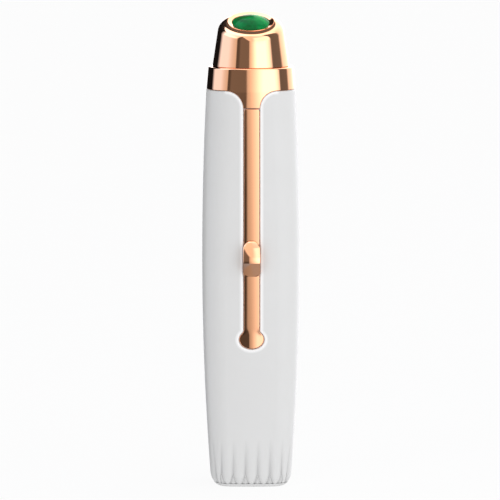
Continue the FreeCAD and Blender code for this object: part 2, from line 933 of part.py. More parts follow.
def eccentric_weight():
    low = motor_top + bush_height + weight_gap
    high = low + weight_length
    lobe = rod(weight_radius, low, high).common(block(-wide, wide, -wide, 0, low, high))
    weight = lobe.fuse(rod(weight_hub_radius, low, high)).removeSplitter()
    return weight.cut(rod(shaft_radius, low, high))


# ---------------------------------------------------------------- leads
def motor_leads():
    leads = []
    z = board_top - motor_lead_start
    for side in (-1, 1):
        x = side * motor_lead_offset
        points = [V(x, board_back, z), V(x, 0, z), V(x, 0, end_cap_bottom)]
        leads.append(lead(points, lead_radius, small_bend))
    return Part.makeCompound(leads)


def head_leads():
    leads = []
    z = board_top - head_lead_start
    tilt = math.radians(tip_tilt_deg)
    board_z = tip_z + head_board_bottom / math.cos(tilt) + (lead_depth - lead_radius) * math.tan(tilt)
    for place in (-1, 0, 1):
        x = place * lead_pitch
        points = [V(x, board_back, z), V(x, lead_depth, z), V(x, lead_depth, board_z - lead_joint_gap)]
        leads.append(lead(points, lead_radius, lead_bend))
    return Part.makeCompound(leads)


def battery_leads():
    leads = []
    y = (cell_front + cell_back) / 2
    z = cell_board_top + cell_lead_rise
    for side in (-1, 1):
        x = side * cell_lead_offset
        points = [V(x, y, cell_board_top), V(x, y, z), V(x, board_back, z)]
        leads.append(lead(points, lead_radius, lead_bend))
    return Part.makeCompound(leads)


# ---------------------------------------------------------------- every sub-part
SUB_PARTS = [
    body_sleeve, base_cap, front_frame, rear_frame, frame_screws,
    contact_strip, strip_contact,
    collar, head_seal, head_shell, tip_bezel, head_mount, mount_screws,
    heater_ring, thermistor, head_board, tip_led, tact_switch,
    tip_gem, gem_holder, switch_plunger,
    main_board, board_screws, board_chips, usb_shell, usb_insert,
    battery_cell, battery_pad, cell_board, battery_leads,
    slide_switch, switch_lever, slider_carrier, thumb_button,
    motor_can, motor_end_cap, motor_bush, motor_boot, motor_shaft, motor_armature, eccentric_weight,
    motor_leads, head_leads,
]

os.makedirs("parts", exist_ok=True)
for sub_part in SUB_PARTS:
    sub_part().exportStep("parts/" + sub_part.__name__ + ".step")
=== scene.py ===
import json
import math

import bmesh
import bpy
import numpy as np
from bpy.props import FloatProperty, FloatVectorProperty, IntProperty, PointerProperty
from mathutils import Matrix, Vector
from mathutils.geometry import delaunay_2d_cdt


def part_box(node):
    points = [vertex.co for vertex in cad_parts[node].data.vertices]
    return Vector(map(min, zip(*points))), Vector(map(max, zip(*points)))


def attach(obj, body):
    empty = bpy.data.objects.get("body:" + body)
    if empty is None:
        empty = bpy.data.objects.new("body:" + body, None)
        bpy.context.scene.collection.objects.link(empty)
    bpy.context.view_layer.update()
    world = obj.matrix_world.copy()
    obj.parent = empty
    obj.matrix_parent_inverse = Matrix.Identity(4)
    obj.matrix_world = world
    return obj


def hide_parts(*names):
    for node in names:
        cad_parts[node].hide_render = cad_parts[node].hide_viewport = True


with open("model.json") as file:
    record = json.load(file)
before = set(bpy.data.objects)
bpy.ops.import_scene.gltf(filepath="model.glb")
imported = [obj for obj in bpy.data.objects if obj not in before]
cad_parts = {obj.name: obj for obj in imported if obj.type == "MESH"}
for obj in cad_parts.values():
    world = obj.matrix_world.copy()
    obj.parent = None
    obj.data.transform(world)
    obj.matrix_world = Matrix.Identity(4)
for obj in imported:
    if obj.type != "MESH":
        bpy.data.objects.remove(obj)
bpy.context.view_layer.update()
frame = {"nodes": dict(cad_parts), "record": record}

bl_info = {
    "name": "Eye massager wand",
    "version": (1, 0, 0),
    "blender": (4, 5, 0),
    "location": "3D View > Sidebar > Wand",
    "description": "Dresses the frame of a heated eye massager wand and sets a studio round it",
    "category": "Object",
}

# The wand stands on its base with +Z up and its thumb slider towards -Y. All lengths are in metres.
MM = 0.001
SLEEVE_LOW, SLEEVE_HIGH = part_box("body_sleeve")
COLLAR_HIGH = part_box("collar")[1]
NUB_LOW, NUB_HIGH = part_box("thumb_button")
BOARD_CONTACT_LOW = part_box("strip_contact")[0]
# Mesh points nearer than this are one point.
WELD = 2e-6
# Where the sleeve's mesh stores the share of painted highlight beside the channel, and how deep in a groove a
# point lies, which sets its painted shade.
LIP_HIGHLIGHT_MARK = "lip"
GROOVE_SHADE_MARK = "groove"


# ------------------------------------------------------------------------------ sizes that a user may change
def length(name, description, millimetres):
    """A length, given in millimetres and kept in metres."""
    return FloatProperty(name=name, description=description, default=millimetres * MM,
                         min=0.0, unit="LENGTH", precision=5)


def angle(name, description, degrees):
    """An angle, given in degrees and kept in radians."""
    return FloatProperty(name=name, description=description, default=math.radians(degrees), subtype="ANGLE")


def number(name, description, default):
    return FloatProperty(name=name, description=description, default=default)


def count(name, description, default):
    return IntProperty(name=name, description=description, default=default, min=2)


def colour(name, description, default):
    return FloatVectorProperty(name=name, description=description, default=default, subtype="COLOR",
                               size=3, min=0.0, max=1.0)


class BarrelSizes(bpy.types.PropertyGroup):
    belly_height: length("Belly height", "Height at which the barrel is widest", 60.0)
    bottom_width: length("Bottom width", "Width of the barrel at its foot, before the soft edge", 21.1)
    top_width: length("Top width", "Width of the barrel under the collar", 23.54)
    flank_radius_bottom: length("Flank bow at the foot", "Radius of the sides in plan, at the foot", 60.0)
    flank_radius_top: length("Flank bow at the top", "Radius of the sides in plan, at the top", 20.0)
    corner_radius_bottom: length("Corner radius at the foot", "Radius of the corners, at the foot", 5.4)
    corner_radius_top: length("Corner radius at the top", "Radius of the corners, at the top", 8.4)
    round_width: length("Soft edge width", "How far the soft bottom edge draws in", 2.3)
    round_height: length("Soft edge height", "How high the soft bottom edge reaches", 3.0)
    wall: length("Wall", "Wall of the sleeve", 1.6)
    floor: length("Floor", "Floor of the sleeve over the base cap", 2.3)
    opening: length("Floor opening", "Width of the square opening that takes the base cap's plug", 13.0)
    opening_corner: length("Opening corner", "Corner radius of that opening", 2.0)
    lip_radius: length("Lip radius", "Rounding of the rim, the mouth and the channel", 0.36)
    # The band is where a painted highlight lightens the skin beside the channel's rounding.
    lip_highlight_band: length("Lip band", "Width of the polished band beside the channel's rounding", 0.68)
    joint_bevel: length("Joint bevel", "Bevel that makes the fine line above the base cap", 0.12)


class ReedSizes(bpy.types.PropertyGroup):
    pitch: length("Pitch", "Distance between two grooves", 3.27)
    per_side: count("Grooves per side", "Grooves on each of the four sides", 6)
    top: length("Top", "Height at which the grooves fade out", 13.3)
    full: length("Full depth", "Height below which the grooves are at full depth", 4.2)
    depth: length("Depth", "Depth of the grooves", 0.6)
    crown: number("Crown", "Shape of a reed across its width: larger is flatter with steeper flanks", 2.8)
    petal_height: length("Petal height", "Height below which the reeds draw in to petals", 3.3)
    petal_share: number("Petal end", "Width left of a reed at the parting line, as a share", 0.4)
    wedge_rise: number("Wedge rise", "How far the wedge between two petals rises again, as a share", 0.75)


class InlaySizes(bpy.types.PropertyGroup):
    width: length("Width", "Width of the channel", 4.5)
    length: length("Length", "From the seam under the collar to the middle of the round end", 61.2)
    end_width: length("Round end width", "Width of the round end", 6.92)
    end_height: length("Round end height", "Height of the round end", 5.32)
    neck_radius: length("Neck radius", "Rounding between the straight channel and its round end", 1.1)
    mouth_radius: length("Mouth radius", "Rounded corners of the sleeve beside the tongue", 4.5)
    drop: length("Drop", "How far the strip lies below the skin", 0.12)
    thickness: length("Thickness", "Thickness of the strip", 0.8)
    gap: length("Gap", "Gap between the strip and the channel's walls", 0.2)
    crown_radius: length("Crown radius", "Bow of the strip across its width", 20.0)
    edge_radius: length("Edge radius", "Rounding of the strip's edges", 0.15)
    end_crown_radius: length("Round end bow", "Further bow across the round end", 20.0)
    stud_radius: length("Stud radius", "Radius of the contact stud behind the round end", 1.2)


class SliderSizes(bpy.types.PropertyGroup):
    width: length("Width", "Width of the thumb nub", 4.5)
    crest_drop: length("Crest drop", "From the upper end down to the crest", 5.8)
    hollow: length("Hollow", "Hollow of the steep face under the crest", 0.1)
    corner: length("Foot corner", "Corner radius at the foot of the nub", 1.0)
    crown_radius: length("Crown radius", "Bow of the nub across its width", 11.0)
    edge_radius: length("Edge radius", "Rounding of the nub's long edges", 0.14)
    stem_width: length("Stem width", "Width of the stem through the slot", 2.4)
    stem_length: length("Stem length", "Length of the stem along the wand", 2.2)
    window_gap: length("Slot gap", "Gap beside the stem", 0.15)
    travel: length("Travel", "Travel of the slider", 3.0)


class HeadSizes(bpy.types.PropertyGroup):
    collar_top_width: length("Collar top width", "Width of the collar at its top", 22.5)
    collar_edge: length("Collar edge", "Rounding of the collar's top edge", 0.32)
    collar_joint: length("Collar joint", "Gap between the collar and the sleeve", 0.06)
    tongue_edge: length("Tongue edge", "Rounding of the tongue's edges", 0.14)
    bore_radius: length("Collar bore", "Radius inside the collar", 9.6)
    top_plate: length("Top plate", "Thickness of the collar's top plate", 1.2)
    neck_radius: length("Neck hole", "Radius of the hole for the head mount", 8.35)
    base_radius: length("Head base radius", "Radius of the head at the collar", 10.2)
    taper: angle("Head taper", "Slope of the head's side", 8.6)
    height: length("Head height", "From the collar to the centre of the slanted face", 11.75)
    tilt: angle("Tip tilt", "Slant of the face at the tip", 20.0)
    shoulder: length("Shoulder", "Radius of the rounded shoulder", 2.5)
    wall: length("Wall", "Wall of the head", 0.9)
    ring_outer: length("Ring outer radius", "Outer radius of the dished ring", 6.2)
    ring_inner: length("Ring inner radius", "Inner radius of the dished ring", 5.05)
    ring_rise: length("Ring rise", "How far the ring stands above the face", 0.15)
    ring_lip: length("Ring lip", "Width of the ring's lip", 0.07)
    ring_lip_fall: length("Ring lip fall", "How far the lip falls inwards", 0.05)
    ring_dish: length("Ring dish", "Depth of the ring's slope", 0.3)
    ring_height: length("Ring height", "Full height of the ring", 1.4)
    gem_radius: length("Stone radius", "Radius of the green stone", 4.92)
    gem_rise: length("Stone rise", "Top of the stone above the face", 1.45)
    gem_edge: length("Stone edge", "Depth of the stone's edge below the face", 0.15)
    gem_wall: length("Stone wall", "Straight wall of the stone below its dome", 1.1)


class Finishes(bpy.types.PropertyGroup):
    white: colour("White shell", "Colour of the moulded barrel", (0.76, 0.76, 0.76))
    # This colour is painted shade at the bottom of the grooves.
    white_groove_shade: colour("White groove", "Colour at the bottom of the grooves", (0.64, 0.64, 0.64))
    # This colour is a painted highlight along the channel's edge.
    white_lip_highlight: colour("White lip", "Colour of the polished edge of the channel", (0.99, 0.99, 0.99))
    rose_gold: colour("Rose gold", "Colour of the plated parts", (0.97, 0.48, 0.26))
    green: colour("Green stone", "Colour of the stone in the tip", (0.006, 0.27, 0.066))
    green_light: colour("Green stone, light veins", "Lighter veins in the stone", (0.003, 0.60, 0.10))
    green_dark: colour("Green stone, dark patches", "Dark patches in the stone", (0.010, 0.13, 0.035))
    green_olive: colour("Green stone, olive patch", "Olive patch in the stone", (0.04, 0.12, 0.015))


class Studio(bpy.types.PropertyGroup):
    view_azimuth: angle("View azimuth", "Camera's angle to the left of the front", 1.0)
    view_elevation: angle("View elevation", "Camera's angle above the horizon", 6.0)
    view_distance: length("View distance", "From the camera to the wand", 1500.0)
    view_height: length("View height", "Height on the axis at the middle of the picture", 62.33)
    view_shift: length("View offset", "Distance of the axis right of the picture's middle", 0.22)
    view_width: length("View width", "Width of the picture at the wand", 133.0)
    right_lamp: number("Right lamp", "Power of the large lamp at the right", 1.9)
    left_lamp: number("Left lamp", "Power of the lamp at the left", 1.8)
    ambient_left: number("Ambient, left", "Strength of the soft light from the left", 0.30)
    ambient_right: number("Ambient, right", "Strength of the soft light from the right", 1.12)


GROUPS = {
    "wand_barrel": BarrelSizes,
    "wand_reeds": ReedSizes,
    "wand_inlay": InlaySizes,
    "wand_slider": SliderSizes,
    "wand_head": HeadSizes,
    "wand_finishes": Finishes,
    "wand_studio": Studio,
}


# ------------------------------------------------------------------------------ the barrel's form
class Section:
    """A soft square in plan: four bowed flanks joined by corner arcs."""

    def __init__(self, half, flank, corner):
        self.half = half
        self.flank = flank
        self.corner = corner
        drop = flank - half
        reach = flank - corner
        self.centre = (np.sqrt(2 * reach ** 2 - drop ** 2) - drop) / 2
        self.turn = np.arctan2(self.centre, self.centre + drop)

    def on_flank(self, across):
        """Distance out and direction of the skin, at a distance along one side."""
        bowed = np.abs(across) <= self.flank * np.sin(self.turn)
        low = np.arcsin(np.clip(across / self.flank, -1, 1))
        high = np.arcsin(np.clip((np.abs(across) - self.centre) / self.corner, -1, 1))
        out_low = self.half - self.flank + self.flank * np.cos(low)
        out_high = self.centre + self.corner * np.cos(high)
        return np.where(bowed, out_low, out_high), np.where(bowed, low, np.copysign(high, across))


class Barrel:
    """The forms of the barrel, its bore and the collar, as sections at a height."""

    def __init__(self, scene):
        self.s = scene.wand_barrel
        self.reeds = scene.wand_reeds
        self.head = scene.wand_head
        self.low = SLEEVE_LOW.z
        self.top = SLEEVE_HIGH.z
        self.half_belly = SLEEVE_HIGH.x
        self.bore_low = self.low + self.s.floor
        self.collar_top = self.top + (COLLAR_HIGH.z - SLEEVE_HIGH.z)
        self.edge = self.reeds.pitch * (self.reeds.per_side - 1) / 2

    def half(self, z):
        """Half the barrel's width. It falls off as a parabola above and below the belly."""
        belly = self.s.belly_height
        above = (z - belly) / (self.top - belly)
        below = (belly - z) / belly
        to_top = self.half_belly - (self.half_belly - self.s.top_width / 2) * above ** 2
        to_foot = self.half_belly - (self.half_belly - self.s.bottom_width / 2) * below ** 2
        return np.where(z > belly, to_top, to_foot)

    def flank(self, z):
        """Radius of the bowed flanks in plan."""
        change = self.s.flank_radius_top - self.s.flank_radius_bottom
        return self.s.flank_radius_bottom + change * z / self.top

    def corner(self, z):
        """Radius of the corners in plan."""
        change = self.s.corner_radius_top - self.s.corner_radius_bottom
        return self.s.corner_radius_bottom + change * z / self.top

    def skin(self, z):
        """The outside of the sleeve, without its reeds and its soft foot."""
        return Section(self.half(z), self.flank(z), self.corner(z))

    def bore(self, z):
        """The drafted hollow follows straight lines from the floor to the top."""
        share = (z - self.bore_low) / (self.top - self.bore_low)
        low = self.half(np.float64(self.bore_low))
        return Section(low + (self.s.top_width / 2 - low) * share, self.flank(z), self.corner(z))

    def collar(self, z):
        """The skin of the sleeve up to its rim, then the collar's own slope."""
        share = np.clip((z - self.top) / (self.collar_top - self.top), 0, 1)
        over = self.s.top_width / 2 + (self.head.collar_top_width - self.s.top_width) / 2 * share
        half = np.where(z > self.top, over, self.half(z))
        upto = np.minimum(z, self.top)
        return Section(half, self.flank(upto), self.corner(upto))

    def foot_inset(self, z):
        """How far the soft bottom edge draws the skin in at a height."""
        cosine = np.clip(1 - z / self.s.round_height, 0, 1)
        inset = self.s.round_width * (1 - np.sqrt(1 - cosine ** 2))
        return np.where(z < self.s.round_height, inset, 0.0)


def front(form, places, depth=0.0):
    """Points on the front side of a form at places (across, height), this far behind its skin."""
    across, z = places[:, 0], places[:, 1]
    out, turn = form(z).on_flank(across)
    return np.stack([across - depth * np.sin(turn), -(out - depth * np.cos(turn)), z], axis=-1)


# The barrel's sides in quarter turns from +X, starting with the front.
SIDES = (3, 0, 1, 2)
STEPS_PER_REED = 16
CORNER_STEPS = 22


class Columns:
    """Places round the barrel, from the left edge of the front. After each side's columns come those of its
    right-hand corner. A column knows its side, its place across that side and its share of the corner."""

    def __init__(self, barrel, front_across=None):
        intervals = (barrel.reeds.per_side - 1) * STEPS_PER_REED
        even = np.linspace(-barrel.edge, barrel.edge, intervals + 1)
        corner = np.arange(1, CORNER_STEPS) / CORNER_STEPS
        runs = [even if front_across is None else front_across, even, even, even]
        self.front_count = len(runs[0])
        self.side = np.concatenate([np.full(len(run) + len(corner), side) for side, run in zip(SIDES, runs)])
        self.across = np.concatenate([np.append(run, np.full(len(corner), barrel.edge)) for run in runs])
        self.share = np.concatenate([np.append(np.zeros(len(run)), corner) for run in runs])

    def ring(self, form, z, depth=0.0):
        """Points of a form's section at one height, this far inside its skin."""
        section = form(np.float64(z))
        out, turn = section.on_flank(self.across)
        swept = turn + self.share * (math.pi / 2 - 2 * turn)
        in_corner = self.share > 0
        x = np.where(in_corner, section.centre + section.corner * np.cos(swept), out)
        y = np.where(in_corner, section.centre + section.corner * np.sin(swept), self.across)
        x = x - depth * np.cos(swept)
        y = y - depth * np.sin(swept)
        quarter = self.side * math.pi / 2
        cosine, sine = np.cos(quarter), np.sin(quarter)
        return np.stack([x * cosine - y * sine, x * sine + y * cosine, np.full_like(x, z)], axis=-1)

    def rest(self, form, z, depth=0.0):
        """The part of a ring that is not the front: from its right edge round the back to its left edge."""
        ring = self.ring(form, z, depth)
        return np.concatenate([ring[self.front_count - 1:], ring[:1]])


# Powers that shape how the reeds narrow to petals and how the wedges between the petals rise.
PETAL_BOW = 0.8
WEDGE_BOW = 0.7


def reed_depth(barrel, columns, z):
    """Depth of the grooves at each column. Reeds are crowned, fade out upwards and end in petals."""
    reeds = barrel.reeds
    section = barrel.skin(np.float64(z))
    turn = section.on_flank(np.float64(barrel.edge))[1]
    corner_half = section.corner * (math.pi / 2 - 2 * turn) / 2
    in_corner = columns.share > 0
    reach = np.where(in_corner, corner_half, reeds.pitch / 2)
    place = (columns.across + barrel.edge) / reeds.pitch
    off_centre = np.abs(place - np.floor(place) - 0.5) * reeds.pitch
    off_centre = np.where(in_corner, np.abs(columns.share - 0.5) * 2 * corner_half, off_centre)
    place_in_reed = np.clip(off_centre / reach, 0, 1)
    petal = 1.0
    above_foot = (z - barrel.low) / (reeds.petal_height - barrel.low)
    if above_foot < 1:
        petal = reeds.petal_share + (1 - reeds.petal_share) * above_foot ** PETAL_BOW
    sunk = np.clip(place_in_reed / petal, 0, 1) ** reeds.crown
    in_wedge = np.clip((place_in_reed - petal) / max(1 - petal, WELD), 0, 1)
    sunk = sunk * (1 - reeds.wedge_rise * in_wedge ** WEDGE_BOW)
    fade = np.clip((reeds.top - z) / (reeds.top - reeds.full), 0, 1)
    return reeds.depth * fade * sunk


# ------------------------------------------------------------------------------ outlines in the front's plane
# Spacing of points along the edges, and the number of steps round each arc.
RIM_STEP = 0.4 * MM
WALL_STEP = 0.9 * MM
SLOT_STEP = 0.6 * MM
SHELF_STEP = 0.8 * MM
MOUTH_STEPS = 18
NECK_STEPS = 6
END_POINTS = 22
HALVINGS = 50


def arc(centre, radius, start, end, steps, facing):
    """Points of an arc with their unit normals: facing 1 is outwards and -1 towards the centre."""
    turn = np.linspace(start, end, steps + 1)
    away = np.stack([np.cos(turn), np.sin(turn)], axis=-1)
    return np.array(centre) + radius * away, facing * away


def line(start, end, spacing, normal=(0, 0)):
    """Even points of a straight line, with one normal for all of them."""
    start, end = np.array(start, float), np.array(end, float)
    steps = max(1, int(round(np.linalg.norm(end - start) / spacing)))
    points = start + (end - start) * np.linspace(0, 1, steps + 1)[:, None]
    return points, np.broadcast_to(np.array(normal, float), points.shape)


def join(pieces):
    """One run of points and normals, without the doubled ends."""
    points = np.concatenate([pieces[0][0]] + [p[1:] for p, _ in pieces[1:]])
    normals = np.concatenate([pieces[0][1]] + [n[1:] for _, n in pieces[1:]])
    return points, normals


FLIP = np.array([-1.0, 1.0])


def mirrored(run):
    """A run down the right side, carried on up the left side."""
    return tuple(np.concatenate([values, values[-2::-1] * FLIP]) for values in run)


def level(across, height):
    """Places along a level line."""
    return np.stack([across, np.full(len(across), height)], axis=-1)


def framed(bottom, sides, top, edge):
    """A closed outline: along the bottom, up the right side, back along the top and down the left side."""
    right = level(sides, edge)[:, ::-1]
    return np.concatenate([bottom[:-1], right[:-1], top[:-1], (right[::-1] * FLIP)[:-1]])


def shelved(edge, rim):
    """An edge's part below the rim, closed by a shelf at the rim, and every place across at the rim."""
    on_rim = edge[:, 1] >= rim - WELD
    right, left = edge[on_rim & (edge[:, 0] > 0)], edge[on_rim & (edge[:, 0] < 0)]
    shelf = line((left[0, 0], rim), (right[-1, 0], rim), SHELF_STEP)[0]
    outline = np.concatenate([edge[len(right) - 1:len(edge) - len(left)], shelf[:-1]])
    return outline, np.sort(np.concatenate([left[:, 0], shelf[1:-1, 0], right[:, 0]]))


class Inlay:
    """The outline of the channel: a flared mouth, a straight slot and a round end."""

    def __init__(self, scene, barrel):
        self.s = scene.wand_inlay
        self.half = self.s.width / 2
        self.seam = barrel.top - self.s.mouth_radius
        self.end = self.seam - self.s.length
        self.mouth_half = self.half + self.s.mouth_radius
        self.channel_depth = self.s.drop + self.s.thickness

    def end_point(self, turn):
        """Points of the round end's oval, with their unit normals."""
        a, b = self.s.end_width / 2, self.s.end_height / 2
        normal = np.stack([np.cos(turn) / a, np.sin(turn) / b], axis=-1)
        normal = normal / np.linalg.norm(normal, axis=-1, keepdims=True)
        return np.stack([a * np.cos(turn), self.end + b * np.sin(turn)], axis=-1), normal

    def side(self, start_z):
        """Down the right wall of the slot, round the neck and half the round end."""
        radius = self.s.neck_radius
        low, high = 0.0, math.pi / 2
        for _ in range(HALVINGS):
            turn = (low + high) / 2
            point, normal = self.end_point(turn)
            if point[0] + radius * normal[0] > self.half + radius:
                low = turn
            else:
                high = turn
        centre = point + radius * normal
        wall = line((self.half, start_z), (self.half, centre[1]), WALL_STEP, (1, 0))
        meet = math.atan2(-normal[1], -normal[0]) % (2 * math.pi)
        neck = arc(centre, radius, math.pi, meet, NECK_STEPS, -1)
        around = self.end_point(np.linspace(turn, -math.pi / 2, END_POINTS))
        return join([wall, neck, around])

    def mouth(self, rim_from, rim_z):
        """Along the rim to the mouth and round its corner."""
        rim = line((rim_from, rim_z), (self.mouth_half, rim_z), RIM_STEP, (0, -1))
        centre = (self.mouth_half, self.seam)
        return join([rim, arc(centre, self.s.mouth_radius, math.pi / 2, math.pi, MOUTH_STEPS, -1)])


def inside(points, outline, holes=()):
    """Which points lie inside a closed outline and outside its holes."""
    x, y = points[:, 0:1], points[:, 1:2]
    x0, y0 = outline[:, 0], outline[:, 1]
    x1, y1 = np.roll(x0, -1), np.roll(y0, -1)
    crosses = (y0 > y) != (y1 > y)
    with np.errstate(divide="ignore", invalid="ignore"):
        at = (x1 - x0) * (y - y0) / (y1 - y0) + x0
    kept = (np.sum(crosses & (x < at), axis=1) % 2) == 1
    for hole in holes:
        kept &= ~inside(points, hole)
    return kept


# A point of the grid is left out where the square of its distance to an edge, in spacings, is below this.
TOO_NEAR = 0.3
# Points nearer than this many millimetres are one point.
SAME_POINT = 1e-5


def fill(outline, holes=(), spacing=(0.6 * MM, 1.0 * MM)):
    """Triangles over an outline less its holes, with even points between. Returns points and triangles."""
    loops = [outline, *holes]
    edge_points = np.concatenate(loops)
    low, high = outline.min(axis=0), outline.max(axis=0)
    columns, rows = (np.arange(low[i] + spacing[i] / 2, high[i], spacing[i]) for i in (0, 1))
    grid = np.stack(np.meshgrid(columns, rows), axis=-1).reshape(-1, 2)
    grid = grid[inside(grid, outline, holes)]
    apart = np.array([np.min(np.sum(((edge_points - p) / spacing) ** 2, axis=1)) for p in grid])
    grid = grid[apart > TOO_NEAR] if len(grid) else grid
    points = np.concatenate([edge_points, grid])
    edges, start = [], 0
    for loop in loops:
        edges += [(start + i, start + (i + 1) % len(loop)) for i in range(len(loop))]
        start += len(loop)
    made = delaunay_2d_cdt([Vector(p / MM) for p in points], edges, [], 0, SAME_POINT)
    places = np.array([points[source[0]] for source in made[3]])
    triangles = [face for face in made[2] if len(set(face)) == 3]
    middles = np.array([places[list(face)].mean(axis=0) for face in triangles])
    return places, [face for face, kept in zip(triangles, inside(middles, outline, holes)) if kept]


def rounded_edge(run, side, radius, band=0.0, steps=5):
    """Rows of an edge's rounding: from the skin, with a flat band before it, down to the wall."""
    points, normals = run
    rows = [(points + side * (radius + band) * normals, 0.0)] if band else []
    for turn in np.linspace(0, math.pi / 2, steps + 1):
        row = points + side * radius * (1 - math.sin(turn)) * normals
        rows.append((row, radius * (1 - math.cos(turn))))
    return rows


# ------------------------------------------------------------------------------ meshes
SHARP = math.radians(38)
NORMAL_STEP = 0.01 * MM
DISC_STEPS = 24


class Patchwork:
    """Gathers patches and welds their shared edges into one closed mesh."""

    def __init__(self):
        self.points = []
        self.faces = []
        self.total = 0

    def sheet(self, points, faces):
        """Adds points, and faces that count them from 0."""
        self.points.append(np.asarray(points, float))
        self.faces += [tuple(self.total + i for i in face) for face in faces]
        self.total += len(points)

    def filled(self, surface, *region):
        """A filled outline, laid on a surface that turns places into points."""
        places, faces = fill(*region)
        self.sheet(surface(places), faces)

    def rows(self, rows, closed):
        """Quads between rows of equally many points. A closed row joins its end to its start."""
        width = len(rows[0])
        faces = []
        for start in range(0, (len(rows) - 1) * width, width):
            for i in range(width if closed else width - 1):
                j = (i + 1) % width
                faces.append((start + i, start + j, start + width + j, start + width + i))
        self.sheet(np.concatenate(rows), faces)

    def cap(self, ring):
        """A flat end with a point in its middle."""
        faces = [(i, (i + 1) % len(ring), len(ring)) for i in range(len(ring))]
        self.sheet(np.concatenate([ring, [ring.mean(axis=0)]]), faces)

    def edge(self, columns, form, rows):
        """Rows of (places, depth) down an edge: across the front, and level round the rest."""
        self.rows([front(form, places, depth) for places, depth in rows], closed=False)
        self.rows([columns.rest(form, places[0, 1], depth) for places, depth in rows], closed=False)

    def build(self, name, front_surface=None):
        """The welded object. With the formula of its front, that part gets the formula's normals."""
        mesh = bpy.data.meshes.new(name)
        mesh.from_pydata([tuple(p) for p in np.concatenate(self.points)], [], self.faces)
        work = bmesh.new()
        work.from_mesh(mesh)
        bmesh.ops.remove_doubles(work, verts=work.verts, dist=WELD)
        bmesh.ops.dissolve_degenerate(work, dist=WELD / 2, edges=work.edges)
        bmesh.ops.recalc_face_normals(work, faces=work.faces)
        open_edges = [e for e in work.edges if len(e.link_faces) != 2]
        if open_edges:
            places = [tuple(round(c / MM, 3) for c in e.verts[0].co) for e in open_edges[:4]]
            raise RuntimeError(f"{name} is not closed: {len(open_edges)} edges, such as at {places} mm")
        work.to_mesh(mesh)
        work.free()
        mesh.shade_smooth()
        mesh.set_sharp_from_angle(angle=SHARP)
        if front_surface:
            use_front_normals(mesh, front_surface)
        piece = bpy.data.objects.new(name, mesh)
        bpy.context.scene.collection.objects.link(piece)
        return piece


def use_front_normals(mesh, surface):
    """Normals of the front from its formula, so that reflections run smoothly over it."""
    points = np.array([vertex.co for vertex in mesh.vertices])
    place = points[:, [0, 2]]
    on_front = np.abs(surface(place)[:, 1] - points[:, 1]) < WELD
    across, upwards = (surface(place + step) - surface(place - step) for step in np.eye(2) * NORMAL_STEP)
    normals = np.cross(across, upwards)
    normals /= np.linalg.norm(normals, axis=1, keepdims=True)
    corners = np.array([corner.vector for corner in mesh.corner_normals])
    for face in mesh.polygons:
        vertices = list(face.vertices)
        if on_front[vertices].all():
            corners[face.loop_start:face.loop_start + face.loop_total] = normals[vertices]
    mesh.normals_split_custom_set([tuple(corner) for corner in corners])


def smooth(value, low, high):
    """A soft step from 0 at the low value to 1 at the high one."""
    share = np.clip((value - low) / (high - low), 0, 1)
    return share * share * (3 - 2 * share)


def spaced(start, end, step):
    """Even values from start to end, no further apart than the step."""
    return np.linspace(start, end, max(1, math.ceil(abs(end - start) / step)) + 1)


def at_depth(places, y):
    """Places of the front's plane as points with this y."""
    return np.stack([places[:, 0], np.broadcast_to(y, len(places)), places[:, 1]], axis=-1)


def outwards(points):
    """Unit directions in plan, from the axis towards each point."""
    return points[:, :2] / np.linalg.norm(points[:, :2], axis=1, keepdims=True)


def circle_at(points, radius, z):
    """Points on a circle round the axis, in the same directions as the given ones."""
    return np.column_stack([outwards(points) * radius, np.full(len(points), z)])


def square_at(points, half, corner, z):
    """Points on a rounded square round the axis, in the same directions as the given ones."""
    away = outwards(points)
    flat = away * (half / np.abs(away).max(axis=1, keepdims=True))
    inner = half - corner
    along = np.sum(away * np.sign(away) * inner, axis=1)
    reach = along + np.sqrt(np.maximum(along ** 2 - 2 * inner ** 2 + corner ** 2, 0))
    cornered = (np.abs(flat) > inner).all(axis=1)
    place = np.where(cornered[:, None], away * reach[:, None], flat)
    return np.column_stack([place, np.full(len(points), z)])


def rectangle(half, low, high):
    """A slot's outline, anticlockwise."""
    corners = [(half, low), (half, high), (-half, high), (-half, low)]
    ends = corners[1:] + corners[:1]
    return np.concatenate([line(start, end, SLOT_STEP)[0][:-1] for start, end in zip(corners, ends)])


def disc_outline(centre, radius):
    """A closed circle's outline, anticlockwise."""
    return arc(centre, radius, 0, 2 * math.pi, DISC_STEPS, 1)[0][:-1]


def slider_middle():
    """Height of the middle of the nub, with the slider at rest."""
    return (NUB_LOW.z + NUB_HIGH.z) / 2


def stem_window(scene):
    """The slot that the slider's stem runs in."""
    s = scene.wand_slider
    half = s.stem_width / 2 + s.window_gap
    low = slider_middle() - s.stem_length / 2 - s.window_gap
    high = slider_middle() + s.stem_length / 2 + s.travel + s.window_gap
    return rectangle(half, low, high)


# ------------------------------------------------------------------------------ sleeve
# Rows of the mesh stand this far apart: at the foot, along the reeds, on plain flanks and in the bore.
FOOT_STEP = 0.12 * MM
REED_STEP = 0.45 * MM
ROW_STEP = 1.2 * MM
BORE_STEP = 12 * MM
# Spacing of inner points, across and upwards.
CHANNEL_SPACING = (0.8 * MM, 1.5 * MM)
BORE_SPACING = (1.6 * MM, 4.0 * MM)
# The plain panel that holds the channel starts this far below its round end, and the reeds' rows end this
# far above the reeds.
PANEL_BELOW_END = 4.0 * MM
ABOVE_REEDS = 1.5 * MM


